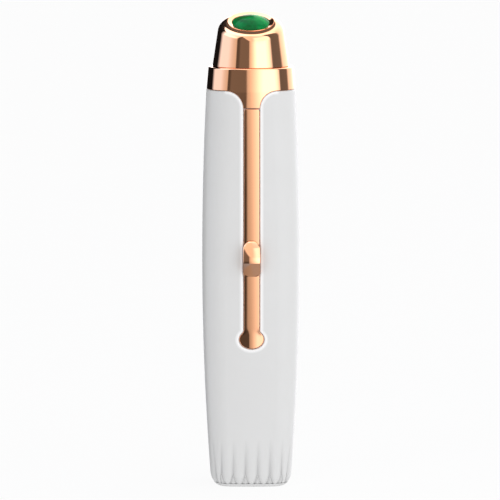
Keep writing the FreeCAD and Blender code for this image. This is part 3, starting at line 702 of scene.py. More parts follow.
def sleeve_mesh(scene):
    """The hollow white sleeve with its reeded foot, flared mouth, channel and floor."""
    barrel = Barrel(scene)
    inlay = Inlay(scene, barrel)
    columns = Columns(barrel)
    work = Patchwork()
    s, reeds, skin, bore = barrel.s, barrel.reeds, barrel.skin, barrel.bore
    low, top, bore_low = barrel.low, barrel.top, barrel.bore_low
    lip, depth = s.lip_radius, inlay.channel_depth

    def inset(z):
        return barrel.foot_inset(z) + reed_depth(barrel, columns, z)

    panel_low = inlay.end - inlay.s.end_height / 2 - PANEL_BELOW_END
    heights = np.concatenate([
        spaced(low + s.joint_bevel, reeds.full, FOOT_STEP),
        spaced(reeds.full, reeds.top + ABOVE_REEDS, REED_STEP)[1:],
        spaced(reeds.top + ABOVE_REEDS, panel_low, ROW_STEP)[1:]])
    foot_ring = columns.ring(skin, low, inset(low) + s.joint_bevel)
    work.rows([foot_ring] + [columns.ring(skin, z, inset(z)) for z in heights], closed=True)

    sides = spaced(panel_low, top - lip - s.lip_highlight_band, ROW_STEP)
    work.rows([columns.rest(skin, z) for z in sides], closed=False)
    edge = mirrored(join([inlay.mouth(barrel.edge, top), inlay.side(inlay.seam)]))
    rows = rounded_edge(edge, 1, lip, s.lip_highlight_band)
    work.edge(columns, skin, rows)
    front_across = columns.across[:columns.front_count]
    work.filled(lambda p: front(skin, p),
                framed(level(front_across, panel_low), sides, rows[0][0], barrel.edge))

    work.edge(columns, skin, [(edge[0], lip), (edge[0], depth)])
    channel, top_across = shelved(edge[0], top)
    holes = [stem_window(scene), disc_outline((0, inlay.end), inlay.s.stud_radius + inlay.s.gap)]
    work.filled(lambda p: front(skin, p, depth), channel, holes, CHANNEL_SPACING)
    shelf_columns = Columns(barrel, top_across)
    work.rows([shelf_columns.ring(skin, top, d) for d in (depth, s.wall)], closed=True)

    bore_rows = spaced(bore_low, top, BORE_STEP)
    work.rows([columns.rest(bore, z, s.wall) for z in bore_rows], closed=False)
    outline = framed(level(front_across, bore_low), bore_rows, level(top_across[::-1], top), barrel.edge)
    work.filled(lambda p: front(bore, p, s.wall), outline, holes, BORE_SPACING)
    for hole in holes:
        work.rows([front(skin, hole, depth), front(bore, hole, s.wall)], closed=True)
    opening = [square_at(foot_ring, s.opening / 2, s.opening_corner, z) for z in (low, bore_low)]
    work.rows([foot_ring] + opening + [columns.ring(bore, bore_low, s.wall)], closed=True)

    piece = work.build("sleeve_shell", lambda p: front(skin, p))
    mark_shell(piece.data, barrel, edge[0][edge[0][:, 1] < top - WELD])
    return piece


# The lip's painted highlight falls from this value to 0 over the band and is cut at 1, so the band's inner
# part is full.
LIP_HIGHLIGHT_FULLNESS = 1.3
SKIN_SAMPLES = 60


def mark_shell(mesh, barrel, edge):
    """Stores how near each point lies to the channel's edge, which sets the painted highlight there, and how
    deep in a groove between the reeds, which sets the painted shade.
    """
    points = np.array([vertex.co for vertex in mesh.vertices])
    away = np.full(len(points), np.inf)
    for place in edge:
        away = np.minimum(away, np.hypot(points[:, 0] - place[0], points[:, 2] - place[1]))
    past = (away - barrel.s.lip_radius) / barrel.s.lip_highlight_band
    # Painted highlight: full near the channel's edge, fading out over the band.
    near = np.where(points[:, 1] < 0, np.clip(LIP_HIGHLIGHT_FULLNESS * (1 - past), 0, 1), 0.0)
    out = np.hypot(points[:, 0], points[:, 1])
    turn = np.arctan2(np.abs(points[:, 1]), np.abs(points[:, 0]))
    turn = np.minimum(turn, math.pi / 2 - turn)
    across = np.linspace(0, barrel.half_belly, SKIN_SAMPLES)
    # Painted shade: the deeper a point lies in a groove, the darker it is coloured.
    sunk = np.zeros(len(points))
    for i in np.flatnonzero(points[:, 2] < barrel.reeds.top):
        z = points[i, 2]
        skin, _ = barrel.skin(z).on_flank(across)
        whole = np.interp(np.tan(turn[i]), across / skin, np.hypot(across, skin)) - barrel.foot_inset(z)
        sunk[i] = np.clip((whole - out[i]) / barrel.reeds.depth, 0, 1)
    for name, values in ((LIP_HIGHLIGHT_MARK, near), (GROOVE_SHADE_MARK, sunk)):
        mesh.attributes.new(name, "FLOAT", "POINT").data.foreach_set("value", values)


# ------------------------------------------------------------------------------ inlay strip
STRIP_CORNER = 0.5 * MM
STRIP_CORNER_STEPS = 5
STRIP_BACK_GAP = 0.02 * MM
STRIP_SPACING = (0.35 * MM, 0.8 * MM)
STRIP_BACK_SPACING = (0.7 * MM, 1.6 * MM)
# The round end's further bow fades out between these heights over its middle, in heights of the end.
END_BOW_FADE = (0.2, 0.6)


def strip_mesh(scene):
    """The strip in the channel, with its round end, the slider's window and the contact stud."""
    barrel = Barrel(scene)
    inlay = Inlay(scene, barrel)
    s = inlay.s
    top = inlay.seam - s.gap
    half = inlay.half - s.gap - STRIP_CORNER
    seam = line((0, top), (half, top), RIM_STEP, (0, 1))
    corner = arc((half, top - STRIP_CORNER), STRIP_CORNER, math.pi / 2, 0, STRIP_CORNER_STEPS, 1)
    wall, normals = inlay.side(top - STRIP_CORNER)
    points, normals = mirrored(join([seam, corner, (wall - s.gap * normals, normals)]))
    run = (points[:-1], normals[:-1])

    def surface(places, depth=0.0):
        across, z = places[:, 0], places[:, 1]
        fade_low, fade_high = (inlay.end + s.end_height * share for share in END_BOW_FADE)
        in_end = 1 - smooth(z, fade_low, fade_high)
        bow = 1 / (2 * s.crown_radius) + in_end / (2 * s.end_crown_radius)
        return at_depth(places, depth - (barrel.half(z) - s.drop - across ** 2 * bow))

    def back(places):
        return at_depth(places, -(barrel.half(places[:, 1]) - inlay.channel_depth + STRIP_BACK_GAP))

    work = Patchwork()
    rows = rounded_edge(run, -1, s.edge_radius)
    window = stem_window(scene)
    stud = disc_outline((0, inlay.end), s.stud_radius)
    stud_end = at_depth(stud, BOARD_CONTACT_LOW.y)
    work.rows([surface(p, depth) for p, depth in rows] + [back(run[0])], closed=True)
    work.filled(surface, rows[0][0], [window], STRIP_SPACING)
    work.filled(back, run[0], [window, stud], STRIP_BACK_SPACING)
    work.rows([surface(window), back(window)], closed=True)
    work.rows([back(stud), stud_end], closed=True)
    work.cap(stud_end)
    return work.build("inlay_strip", surface)


# ------------------------------------------------------------------------------ collar
TONGUE_CORNER = 0.25 * MM
TONGUE_CORNER_STEPS = 4
CROWN_RINGS = 6
COLLAR_SPACING = (0.45 * MM, 0.6 * MM)
TONGUE_SPACING = (0.8 * MM, 0.8 * MM)


def collar_mesh(scene):
    """The collar, with the tongue that fills the channel's mouth and the hole for the head mount."""
    barrel = Barrel(scene)
    inlay = Inlay(scene, barrel)
    s, form = barrel.head, barrel.collar
    joint, edge_radius = s.collar_joint, s.tongue_edge
    rim, high = barrel.top + joint, barrel.collar_top
    depth = inlay.channel_depth - joint

    mouth, normals = inlay.mouth(barrel.edge, barrel.top)
    mouth = mouth - joint * normals
    half, corner_z = inlay.half - joint, inlay.seam + TONGUE_CORNER
    flared = mouth[:, 1] > corner_z
    upper = (np.append(mouth[flared], [[half, corner_z]], axis=0),
             np.append(normals[flared], [[1.0, 0.0]], axis=0))
    corner = arc((half - TONGUE_CORNER, corner_z), TONGUE_CORNER, 0, -math.pi / 2, TONGUE_CORNER_STEPS, 1)
    seam = line((half - TONGUE_CORNER, inlay.seam), (0, inlay.seam), RIM_STEP, (0, -1))
    edge = mirrored(join([upper, corner, seam]))
    rows = rounded_edge(edge, -1, edge_radius)
    tongue, across = shelved(edge[0], rim)
    columns = Columns(barrel, across)

    work = Patchwork()
    sides = spaced(rim + edge_radius, high - s.collar_edge, ROW_STEP)
    work.rows([columns.rest(form, z) for z in sides], closed=False)
    work.edge(columns, form, rows)
    outline = framed(rows[0][0][::-1], sides, level(across[::-1], sides[-1]), barrel.edge)
    work.filled(lambda p: front(form, p), outline, (), COLLAR_SPACING)
    work.edge(columns, form, [(edge[0], edge_radius), (edge[0], depth)])
    work.filled(lambda p: front(form, p, depth), tongue, (), TONGUE_SPACING)

    lower = columns.ring(form, rim, depth)
    plate = high - s.top_plate
    hollow = [circle_at(lower, radius, z) for radius, z in (
        (s.bore_radius, rim), (s.bore_radius, plate), (s.neck_radius, plate), (s.neck_radius, high))]
    round_edge = s.collar_edge
    crown = [columns.ring(form, high - round_edge * (1 - math.sin(turn)), round_edge * (1 - math.cos(turn)))
             for turn in np.linspace(math.pi / 2, 0, CROWN_RINGS)]
    work.rows([lower] + hollow + crown, closed=True)
    return work.build("collar_ring", lambda p: front(form, p))


# ------------------------------------------------------------------------------ head, ring and stone
HEAD_STEPS = 192
RING_STEPS = 160
CONE_ROWS = 8
SHOULDER_ROWS = 12
INNER_SHOULDER_ROWS = 4
HEAD_GAP = 0.03 * MM
HEAD_BEVEL = 0.12 * MM
SEAT_GAP = 0.02 * MM
SEAT_BEVEL = 0.05 * MM
SEAT_FLOOR_GAP = 0.01 * MM
LEDGE_DEPTH = 1.4 * MM
LEDGE_WIDTH = 0.9 * MM
RING_ROUNDING = 0.05 * MM
RING_RIM_ROUNDING = 0.06 * MM
RING_LIP_ROUNDING = 0.1 * MM
STONE_ROWS = 22
STONE_EDGE = 0.04 * MM
STONE_EDGE_RISE = 0.006 * MM
STONE_BEVEL = 0.1 * MM


class Tip:
    """The slanted face of the head: its centre, and places given by radius, direction and height."""

    def __init__(self, scene):
        self.s = scene.wand_head
        tilt = self.s.tilt
        self.centre = np.array([0.0, 0.0, COLLAR_HIGH.z + self.s.height])
        self.right = np.array([1.0, 0.0, 0.0])
        self.back = np.array([0.0, math.cos(tilt), math.sin(tilt)])
        self.normal = np.array([0.0, -math.sin(tilt), math.cos(tilt)])

    def ring(self, radius, height, turns):
        """Points at a distance from the tip's axis and a height over the face."""
        away = np.cos(turns)[:, None] * self.right + np.sin(turns)[:, None] * self.back
        return self.centre + radius * away + height * self.normal

    def rings(self, profile, turns):
        """Rings of a profile of radii and heights."""
        return [self.ring(radius, height, turns) for radius, height in profile]

    def in_plane(self, ring):
        """How far each point lies to the right of the tip's axis, and how far back."""
        place = ring - self.centre
        return place @ self.right, place @ self.back

    def turns(self, ring):
        """Each point's direction round the tip's axis."""
        right, back = self.in_plane(ring)
        return np.arctan2(back, right)

    def outside(self, ring, radius):
        """A ring's points, moved out where they come nearer to the tip's axis than this."""
        right, back = self.in_plane(ring)
        reach = np.maximum(1, radius / np.hypot(right, back)) - 1
        return ring + (right * reach)[:, None] * self.right + (back * reach)[:, None] * self.back


def round_turns(steps):
    """Even directions all the way round."""
    return np.linspace(0, 2 * math.pi, steps, endpoint=False)


def slerp(a, b, share):
    """A direction between two others, at this share of the turn."""
    between = np.arccos(np.clip(np.sum(a * b, axis=-1, keepdims=True), -1, 1))
    return (np.sin((1 - share) * between) * a + np.sin(share * between) * b) / np.sin(between)


def shoulder_rings(tip, low, inset, radius, steps):
    """Rings of a cone under the slanted face, joined to it by a rolling-ball shoulder."""
    s = tip.s
    turns = round_turns(HEAD_STEPS)
    slope = math.tan(s.taper)
    base = s.base_radius - inset / math.cos(s.taper)
    face = tip.centre - inset * tip.normal
    reach = base + COLLAR_HIGH.z * slope - radius / math.cos(s.taper)
    sine, cosine = -tip.normal[1], tip.normal[2]
    over_back = sine * np.sin(turns)
    ball_z = (-radius + cosine * face[2] + sine * face[1] + reach * over_back) / (cosine + slope * over_back)
    ball_r = reach - slope * ball_z
    away = np.stack([np.cos(turns), np.sin(turns), np.zeros_like(turns)], axis=-1)
    ball = away * ball_r[:, None] + np.array([0, 0, 1.0]) * ball_z[:, None]
    side = away * math.cos(s.taper) + np.array([0, 0, math.sin(s.taper)])
    top = np.broadcast_to(tip.normal, side.shape)
    shoulder = [ball + radius * slerp(side, top, share) for share in np.linspace(0, 1, steps + 1)]
    start = away * (base - slope * (low - COLLAR_HIGH.z)) + np.array([0, 0, low])
    cone = [start + (shoulder[0] - start) * share for share in np.linspace(0, 1, CONE_ROWS + 1)]
    return cone[:-1] + shoulder


def head_mesh(scene):
    """The hollow head: cone, shoulder and slanted face, with the seat of the ring and the hole behind it."""
    tip = Tip(scene)
    s = tip.s
    low = COLLAR_HIGH.z + HEAD_GAP
    outer = shoulder_rings(tip, low + HEAD_BEVEL, 0.0, s.shoulder, SHOULDER_ROWS)
    inner = shoulder_rings(tip, low, s.wall, s.shoulder - s.wall, INNER_SHOULDER_ROWS)
    foot = outer[0] * np.array([1, 1, 0]) * (1 - HEAD_BEVEL / s.base_radius) + np.array([0, 0, low])
    seat = s.ring_outer + SEAT_GAP
    seat_low = s.ring_rise - s.ring_height - SEAT_FLOOR_GAP
    ledge_low = -s.wall - LEDGE_DEPTH
    recess = tip.rings([
        (seat + SEAT_BEVEL, 0.0), (seat, -SEAT_BEVEL), (seat, seat_low), (s.ring_inner, seat_low),
        (s.ring_inner, ledge_low)], tip.turns(outer[-1]))
    under = tip.rings([(seat + LEDGE_WIDTH, ledge_low), (seat + LEDGE_WIDTH, -s.wall)], tip.turns(inner[-1]))
    skin = [tip.outside(ring, seat + SEAT_BEVEL) for ring in outer]
    work = Patchwork()
    work.rows([foot] + skin + recess + under + inner[::-1], closed=True)
    work.rows([inner[0], foot], closed=True)
    return work.build("head_cone")


def rounded_profile(corners, steps=4):
    """A closed profile whose corners are given as radius, height and rounding."""
    profile = []
    for i, (x, z, rounding) in enumerate(corners):
        here = np.array([x, z])
        before = np.array(corners[i - 1][:2]) - here
        after = np.array(corners[(i + 1) % len(corners)][:2]) - here
        before, after = before / np.linalg.norm(before), after / np.linalg.norm(after)
        half = math.acos(np.clip(before @ after, -1, 1)) / 2
        cut = rounding / math.tan(half)
        middle = here + (before + after) / np.linalg.norm(before + after) * (rounding / math.sin(half))
        first, last = here + before * cut - middle, here + after * cut - middle
        for share in np.linspace(0, 1, steps + 1):
            profile.append(middle + slerp(first / rounding, last / rounding, share) * rounding)
    return profile


def ring_mesh(scene):
    """The dished ring in the slanted face, with its narrow lip."""
    tip = Tip(scene)
    s = tip.s
    low = s.ring_rise - s.ring_height
    profile = rounded_profile([
        (s.ring_inner, low, RING_ROUNDING), (s.ring_outer, low, RING_ROUNDING),
        (s.ring_outer, s.ring_rise, RING_RIM_ROUNDING),
        (s.ring_outer - s.ring_lip, s.ring_rise - s.ring_lip_fall, RING_LIP_ROUNDING),
        (s.ring_inner, s.ring_rise - s.ring_dish, RING_ROUNDING)])
    work = Patchwork()
    work.rows(tip.rings(profile + profile[:1], round_turns(RING_STEPS)), closed=True)
    return work.build("tip_ring")


def stone_mesh(scene):
    """The domed stone with its soft edge and straight wall."""
    tip = Tip(scene)
    s = tip.s
    cap = s.gem_rise + s.gem_edge
    ball = (s.gem_radius ** 2 + cap ** 2) / (2 * cap)
    bottom = -s.gem_edge - s.gem_wall
    turns = np.linspace(0.0, math.asin(s.gem_radius / ball), STONE_ROWS)[1:-1]
    profile = [(ball * math.sin(t), s.gem_rise - ball + ball * math.cos(t)) for t in turns]
    profile += [(s.gem_radius - STONE_EDGE, -s.gem_edge + STONE_EDGE_RISE),
                (s.gem_radius, -s.gem_edge - STONE_EDGE),
                (s.gem_radius, bottom + STONE_BEVEL), (s.gem_radius - STONE_BEVEL, bottom)]
    work = Patchwork()
    rings = tip.rings(profile, round_turns(RING_STEPS))
    work.rows(rings, closed=True)
    work.cap(rings[0])
    work.cap(rings[-1])
    return work.build("tip_stone")


# ------------------------------------------------------------------------------ thumb nub
NUB_START = 0.02 * MM
NUB_SPACING = (0.5 * MM, 0.5 * MM)
UPPER_ROWS = 26
# Power that draws the upper face's rows together at the nose.
UPPER_CROWDING = 1.6
LOWER_ROWS = 14
NUB_CORNER_TURNS = np.radians([0, 20, 40, 60, 78])
NUB_COLUMNS = 15
# Limits as shares: the crown's fall of the height, the edge's rounding of the height or half width, and
# the crown's first step beside the rounding, of the rounding.
MOST_FALL = 0.5
MOST_ROUNDING = 0.45
CROWN_START = 0.12


def nub_spine(s, high, low, rise):
    """Heights of the nub over its base: a bowed upper face, a crest and a hollow steep face."""
    crest_z = high - s.crest_drop
    radius = (rise ** 2 + s.crest_drop ** 2) / (2 * rise)
    share = np.linspace(0, 1, UPPER_ROWS) ** UPPER_CROWDING
    upper_z = high - NUB_START - (s.crest_drop - NUB_START) * share
    upper = rise - radius + np.sqrt(radius ** 2 - (upper_z - crest_z) ** 2)
    share = np.linspace(0, 1, LOWER_ROWS + 1)[1:]
    chord = np.array([low - crest_z, -rise])
    inward = np.array([-chord[1], chord[0]]) / np.linalg.norm(chord)
    bow = s.hollow * 4 * share * (1 - share)
    lower_z = crest_z + chord[0] * share + inward[0] * bow
    lower = rise + chord[1] * share + inward[1] * bow
    return np.concatenate([upper_z, lower_z]), np.maximum(np.concatenate([upper, lower]), NUB_START)


def nub_width(s, z, high, low):
    """Half the nub's width at a height: a round nose above and small corners at the foot."""
    half = s.width / 2
    nose = np.clip(high - z, 0, half)
    foot = np.clip(z - low, 0, s.corner)
    round_nose = np.sqrt(half ** 2 - (half - nose) ** 2)
    round_foot = half - s.corner + np.sqrt(s.corner ** 2 - (s.corner - foot) ** 2)
    return min(round_nose, round_foot)


def nub_section(s, half, height):
    """Points across the nub from its left foot to its right one: wall, rounded edge and crowned top."""
    fall = min(half ** 2 / (2 * s.crown_radius), MOST_FALL * height)
    radius = min(s.edge_radius, MOST_ROUNDING * half, MOST_ROUNDING * height)
    shoulder = height - fall - radius
    corner = np.stack([-half + radius * (1 - np.cos(NUB_CORNER_TURNS)),
                       shoulder + radius * np.sin(NUB_CORNER_TURNS)], axis=-1)
    reach = -corner[-1, 0] - radius * CROWN_START
    across = np.linspace(-reach, reach, NUB_COLUMNS)
    crown = np.stack([across, height - fall * (across / half) ** 2], axis=-1)
    left = np.concatenate([[[-half, 0]], corner])
    return np.concatenate([left, crown, left[::-1] * FLIP])


def nub_mesh(scene):
    """The thumb nub with its stem through the strip's window."""
    s = scene.wand_slider
    high, low = NUB_HIGH.z, NUB_LOW.z
    base = -(SLEEVE_HIGH.x + s.window_gap)
    rows = []
    for z, rise in zip(*nub_spine(s, high, low, base - NUB_LOW.y)):
        section = nub_section(s, nub_width(s, z, high, low), rise)
        rows.append(at_depth(level(section[:, 0], z), base - section[:, 1]))
    outline = np.array([row[0] for row in rows] + [row[-1] for row in rows[::-1]])[:, [0, 2]]
    middle = slider_middle()
    stem = rectangle(s.stem_width / 2, middle - s.stem_length / 2, middle + s.stem_length / 2)
    work = Patchwork()
    work.rows(rows, closed=False)
    work.filled(lambda p: at_depth(p, base), outline, [stem], NUB_SPACING)
    for row in (rows[0], rows[-1]):
        work.sheet(row, [tuple(range(len(row)))])
    work.rows([at_depth(stem, base), at_depth(stem, NUB_HIGH.y)], closed=True)
    work.cap(at_depth(stem, NUB_HIGH.y))
    return work.build("thumb_nub")


# ------------------------------------------------------------------------------ materials
def set_inputs(tree, node, inputs):
    """Sets a node's inputs, by name or number, to values, or links them to other nodes' outputs."""
    for key, value in inputs.items():
        if isinstance(value, bpy.types.NodeSocket):
            tree.links.new(value, node.inputs[key])
        else:
            node.inputs[key].default_value = value


def add_node(tree, kind, output, inputs=None, **settings):
    """Makes a node with these settings and inputs, and returns the named output."""
    node = tree.nodes.new("ShaderNode" + kind)
    for name, value in settings.items():
        setattr(node, name, value)
    set_inputs(tree, node, inputs or {})
    return node.outputs[output]


def new_material(name):
    """A material, its node tree and its shader."""
    material = bpy.data.materials.new(name)
    material.use_nodes = True
    return material, material.node_tree, material.node_tree.nodes["Principled BSDF"]


def add_noise(tree, scale, detail=3.0, stretch=(1, 1, 1)):
    """Noise in the object's own space, stretched by axis."""
    place = add_node(tree, "TexCoord", "Object")
    stretched = add_node(tree, "Mapping", "Vector", {"Vector": place, "Scale": stretch})
    return add_node(tree, "TexNoise", "Fac", {"Vector": stretched, "Scale": scale, "Detail": detail})


def add_bump(tree, height, strength, distance):
    """Fine relief from a height that varies over the surface."""
    return add_node(tree, "Bump", "Normal", {"Height": height, "Strength": strength, "Distance": distance})


def add_ramp(tree, source, stops):
    """A colour ramp of (place, colour) stops. A single number stands for a grey."""
    ramp = tree.nodes.new("ShaderNodeValToRGB")
    elements = ramp.color_ramp.elements
    while len(elements) < len(stops):
        elements.new(0.5)
    for element, (place, value) in zip(elements, stops):
        element.position = place
        element.color = (*value, 1.0) if hasattr(value, "__len__") else (value, value, value, 1.0)
    tree.links.new(source, ramp.inputs["Fac"])
    return ramp.outputs["Color"]


def blended(tree, share, base, over):
    """A colour laid over another one, by this share."""
    inputs = {"Factor": share, "A": base, "B": (*over, 1)}
    return add_node(tree, "Mix", "Result", inputs, data_type="RGBA")


def uneven(tree, base, scale, variation):
    """A colour that varies a little, in soft clouds."""
    darker, lighter = (tuple(min(1.0, c * factor) for c in base) for factor in (1 - variation, 1 + variation))
    return add_ramp(tree, add_noise(tree, scale), [(0.3, darker), (0.7, lighter)])


GRAIN_TO_CLOUDS = 14
MARKS_TO_CLOUDS = 20
GRAIN_HEIGHT = 0.05 * MM
MARK_HEIGHT = 0.02 * MM
COAT_ROUGHNESS = 0.12
ROUGHNESS_SPREAD = 0.03


def moulded(name, base, roughness, scale, variation=0.02, bump=0.05, coat=0.0, gloss=0.5):
    """Moulded plastic or rubber: a fine grain, slightly uneven in colour and gloss."""
    material, tree, shader = new_material(name)
    grain = add_noise(tree, scale, 2.0)
    set_inputs(tree, shader, {
        "Base Color": uneven(tree, base, scale / GRAIN_TO_CLOUDS, variation),
        "Roughness": add_ramp(tree, grain, [
            (0.3, roughness - ROUGHNESS_SPREAD), (0.7, roughness + ROUGHNESS_SPREAD)]),
        "Specular IOR Level": gloss,
        "Coat Weight": coat,
        "Coat Roughness": COAT_ROUGHNESS,
        "Normal": add_bump(tree, grain, bump, GRAIN_HEIGHT)})
    return material


def metal(name, base, roughness, scale, stretch=(1, 1, 1), bump=0.02, variation=0.02):
    """Plated, drawn or polished metal with faint marks."""
    material, tree, shader = new_material(name)
    marks = add_noise(tree, scale, 4.0, stretch)
    set_inputs(tree, shader, {
        "Base Color": uneven(tree, base, scale / MARKS_TO_CLOUDS, variation),
        "Metallic": 1.0,
        "Roughness": add_ramp(tree, marks, [(0.35, roughness * 0.8), (0.7, roughness * 1.3)]),
        "Normal": add_bump(tree, marks, bump, MARK_HEIGHT)})
    return material


def shell(name, finishes):
    """White moulded shell, with a painted highlight along the channel's edge and painted shade in the
    grooves.
    """
    material = moulded(name, finishes.white, 0.32, 1800, variation=0.008, bump=0.04, gloss=0.06)
    tree = material.node_tree
    base = tree.nodes["Principled BSDF"].inputs["Base Color"]
    # Painted shade darkens the grooves, and a painted highlight lightens the channel's edge.
    for mark, tone in ((GROOVE_SHADE_MARK, finishes.white_groove_shade), (LIP_HIGHLIGHT_MARK, finishes.white_lip_highlight)):
        share = add_node(tree, "Attribute", "Fac", attribute_name=mark)
        tree.links.new(blended(tree, share, base.links[0].from_socket, tone), base)
    return material


# A patch is whole within this share of its radius, and this fine a noise breaks it up.
PATCH_CORE = 0.3
PATCH_GRAIN = 700


def add_patch(tree, base, patch, centre, radius):
    """A soft patch of colour round a point, broken up by noise."""
    place = add_node(tree, "TexCoord", "Object")
    away = add_node(tree, "VectorMath", "Value", {0: place, 1: centre}, operation="DISTANCE")
    reach = {"Value": away, "From Min": radius, "From Max": radius * PATCH_CORE}
    fade = add_node(tree, "MapRange", "Result", reach, interpolation_type="SMOOTHSTEP")
    clouds = add_ramp(tree, add_noise(tree, PATCH_GRAIN, 4.0), [(0.25, 0.35), (0.6, 1.0)])
    share = add_node(tree, "Math", "Value", {0: fade, 1: clouds}, operation="MULTIPLY")
    return blended(tree, share, base, patch)


def stone(name, finishes):
    """Polished green stone: cloudy, with an olive patch, a light one and a darker front edge."""
    material, tree, shader = new_material(name)
    tip = Tip(bpy.context.scene)

    def on_face(right, back):
        """A place on the face, in stone radii from its centre."""
        return tuple(tip.centre + tip.s.gem_radius * (back * tip.back + right * tip.right))

    mottled = add_ramp(tree, add_noise(tree, 260, 5.0, (1, 1.8, 1.8)), [
        (0.32, finishes.green_dark), (0.50, finishes.green), (0.58, finishes.green),
        (0.76, finishes.green_light)])
    for patch, centre, radius in (
            (finishes.green_olive, on_face(-0.35, 0.35), 3.2 * MM),
            (finishes.green_dark, on_face(0.0, -0.9), 3.6 * MM),
            (finishes.green_light, on_face(0.38, 0.35), 2.8 * MM)):
        mottled = add_patch(tree, mottled, patch, centre, radius)
    set_inputs(tree, shader, {"Base Color": mottled, "Roughness": 0.12, "Specular IOR Level": 0.04})
    return material


FINISH_PREFIX = "finish_"
# Moulded slots: colour, roughness, scale of the grain, variation, bump and, where there is one, coat.
MOULDED = {
    "frame_plastic": ((0.16, 0.17, 0.18), 0.55, 1500, 0.05, 0.12),
    "white_holder": ((0.78, 0.78, 0.76), 0.5, 1500, 0.02, 0.08),
    "circuit_board": ((0.03, 0.20, 0.09), 0.38, 2600, 0.12, 0.06, 0.4),
    "black_plastic": ((0.03, 0.03, 0.035), 0.5, 2200, 0.1, 0.12),
    "silicone": ((0.35, 0.35, 0.36), 0.7, 1600, 0.04, 0.1),
    "foam": ((0.12, 0.12, 0.13), 0.95, 2600, 0.12, 0.6),
    "heater_ceramic": ((0.83, 0.80, 0.72), 0.6, 2400, 0.03, 0.12),
    "sensor_bead": ((0.10, 0.10, 0.12), 0.3, 1400, 0.06, 0.03, 0.5),
    "led_resin": ((0.80, 0.85, 0.70), 0.2, 1000, 0.02, 0.02, 0.6),
    "lead_red": ((0.60, 0.04, 0.03), 0.45, 2200, 0.05, 0.05),
    "lead_grey": ((0.25, 0.25, 0.27), 0.45, 2200, 0.05, 0.05),
}
# Metal slots: colour, roughness, scale of the marks, their stretch, bump and variation.
METALS = {
    "steel": ((0.62, 0.62, 0.64), 0.26, 2200, (1, 1, 0.2), 0.06, 0.02),
    "copper_alloy": ((0.72, 0.50, 0.24), 0.28, 2000, (1, 0.3, 1), 0.05, 0.05),
    "cell_pouch": ((0.55, 0.56, 0.58), 0.34, 500, (1, 1, 1), 0.1, 0.04),
}


def make_materials(finishes):
    """Every slot's finish, by slot name."""
    made = {
        "white_shell": shell("white_shell", finishes),
        "rose_gold": metal("rose_gold", finishes.rose_gold, 0.055, 900, (1, 1, 0.25), 0.015, 0.015),
        "green_stone": stone("green_stone", finishes),
    }
    for make, looks in ((moulded, MOULDED), (metal, METALS)):
        made.update({slot: make(slot, *look) for slot, look in looks.items()})
    return made


def finish(slot):
    """The finish of a slot. All finishes are made when the first is asked for."""
    if FINISH_PREFIX + slot not in bpy.data.materials:
        for name, material in make_materials(bpy.context.scene.wand_finishes).items():
            material.name = FINISH_PREFIX + name
    return bpy.data.materials[FINISH_PREFIX + slot]


# ------------------------------------------------------------------------------ studio
# The tent is painted by direction from the wand. Azimuths count from the camera, to the right as positive,
# and all angles here are in degrees. Only reflections see the tent. Each table gives a value by azimuth,
# or by elevation in the dimming and the levels of shade, or by side in the ground's.
TENT_RADIUS = 3.0
TENT_MIDDLE = 0.08
TENT_STEP = 1.25
TENT_ROWS = 145
TENT_POLE = 89.9
PANELS = ((-180, 2.6), (-174, 2.6), (-171, 0.01), (-122, 0.01), (-108, 1.35), (-76, 1.3), (-60, 0.95),
          (-48, 0.80), (-45.5, 0.10), (-39, 0.11), (-33, 0.21), (-6, 0.20), (-4.2, 0.80), (-1, 0.95),
          (3, 1.2), (20, 2.6), (48, 2.6), (66, 1.5), (72, 0.17), (106, 0.2), (116, 1.4), (180, 2.6))
PANEL_DIMMING = ((-90, 0.10), (-18, 0.10), (-12, 0.60), (-5, 0.74), (-2, 0.80), (4, 0.95), (10, 1.0))
PANEL_TOPS = ((-180, 29), (-108, 29), (-106, 20), (-52, 30), (-46, 64), (-40, 66), (-25, 52), (-6, 20),
              (6, 14), (20, 12), (66, 12), (74, 70), (104, 70), (112, 40), (122, 50), (150, 50), (168, 48),
              (175, 34), (180, 29))
CANOPY = ((-180, 0.17), (-170, 0.03), (-122, 0.02), (-106, 2.0), (-60, 2.0), (-20, 1.1), (5, 1.1),
          (16, 2.0), (168, 2.0), (175, 0.17), (180, 0.17))
CANOPY_FADE = 8
ZENITH = ((-180, 2.4), (-130, 2.4), (-90, 1.8), (-20, 1.15), (10, 1.15), (90, 1.8), (130, 2.4), (180, 2.4))
ZENITH_STARTS = ((-180, 58), (-172, 57), (-164, 54), (-156, 45.5), (-100, 45.5), (-60, 50), (0, 58),
                 (180, 58))
ZENITH_FADE = 4
TINT = ((-180, 0), (-122, 1), (-76, 1), (-46, 0), (0, 0), (20, 0.3), (66, 0.3), (180, 0))
TINT_COLOUR = (0.87, 1.12, 1.55)
SHADE_AZIMUTHS = ((-50, 0), (-43, 1), (-6, 1), (-4, 0))
SHADE_LEVELS = ((-12, 0.8), (-8, 0.5), (-3, 0.45), (4, 1.0))
GROUND = ((-0.4, 0.25), (0.0, 0.44), (0.4, 0.50))
GROUND_ELEVATION = -62
GROUND_FADE = 4
FLOOR_SIZE = 6.0
# The floor lies this far under the base, so that the two never share a plane.
FLOOR_DROP = 0.05 * MM
# Share of plain white light in the floor, for the camera and for all other rays.
FLOOR_WHITE_SEEN = 0.9
FLOOR_WHITE = 0.6
SENSOR_WIDTH = 36.0
FAR_CLIP = 20.0
LAMP_RIGHT = (0.55, -0.9, 0.55)
LAMP_RIGHT_SIZE = 1.2
LAMP_LEFT = (-0.75, -0.95, 0.55)
LAMP_LEFT_SIZE = 0.5


def direction(azimuth, elevation):
    """A unit vector: to the right, away from the camera and up."""
    across, up = np.radians(azimuth), np.radians(elevation)
    parts = (np.sin(across) * np.cos(up), -np.cos(across) * np.cos(up), np.sin(up))
    return np.stack(parts, axis=-1)


def looked_up(values, table):
    """Values from a table of (place, value) pairs, with straight lines between them."""
    return np.interp(values, *zip(*table))


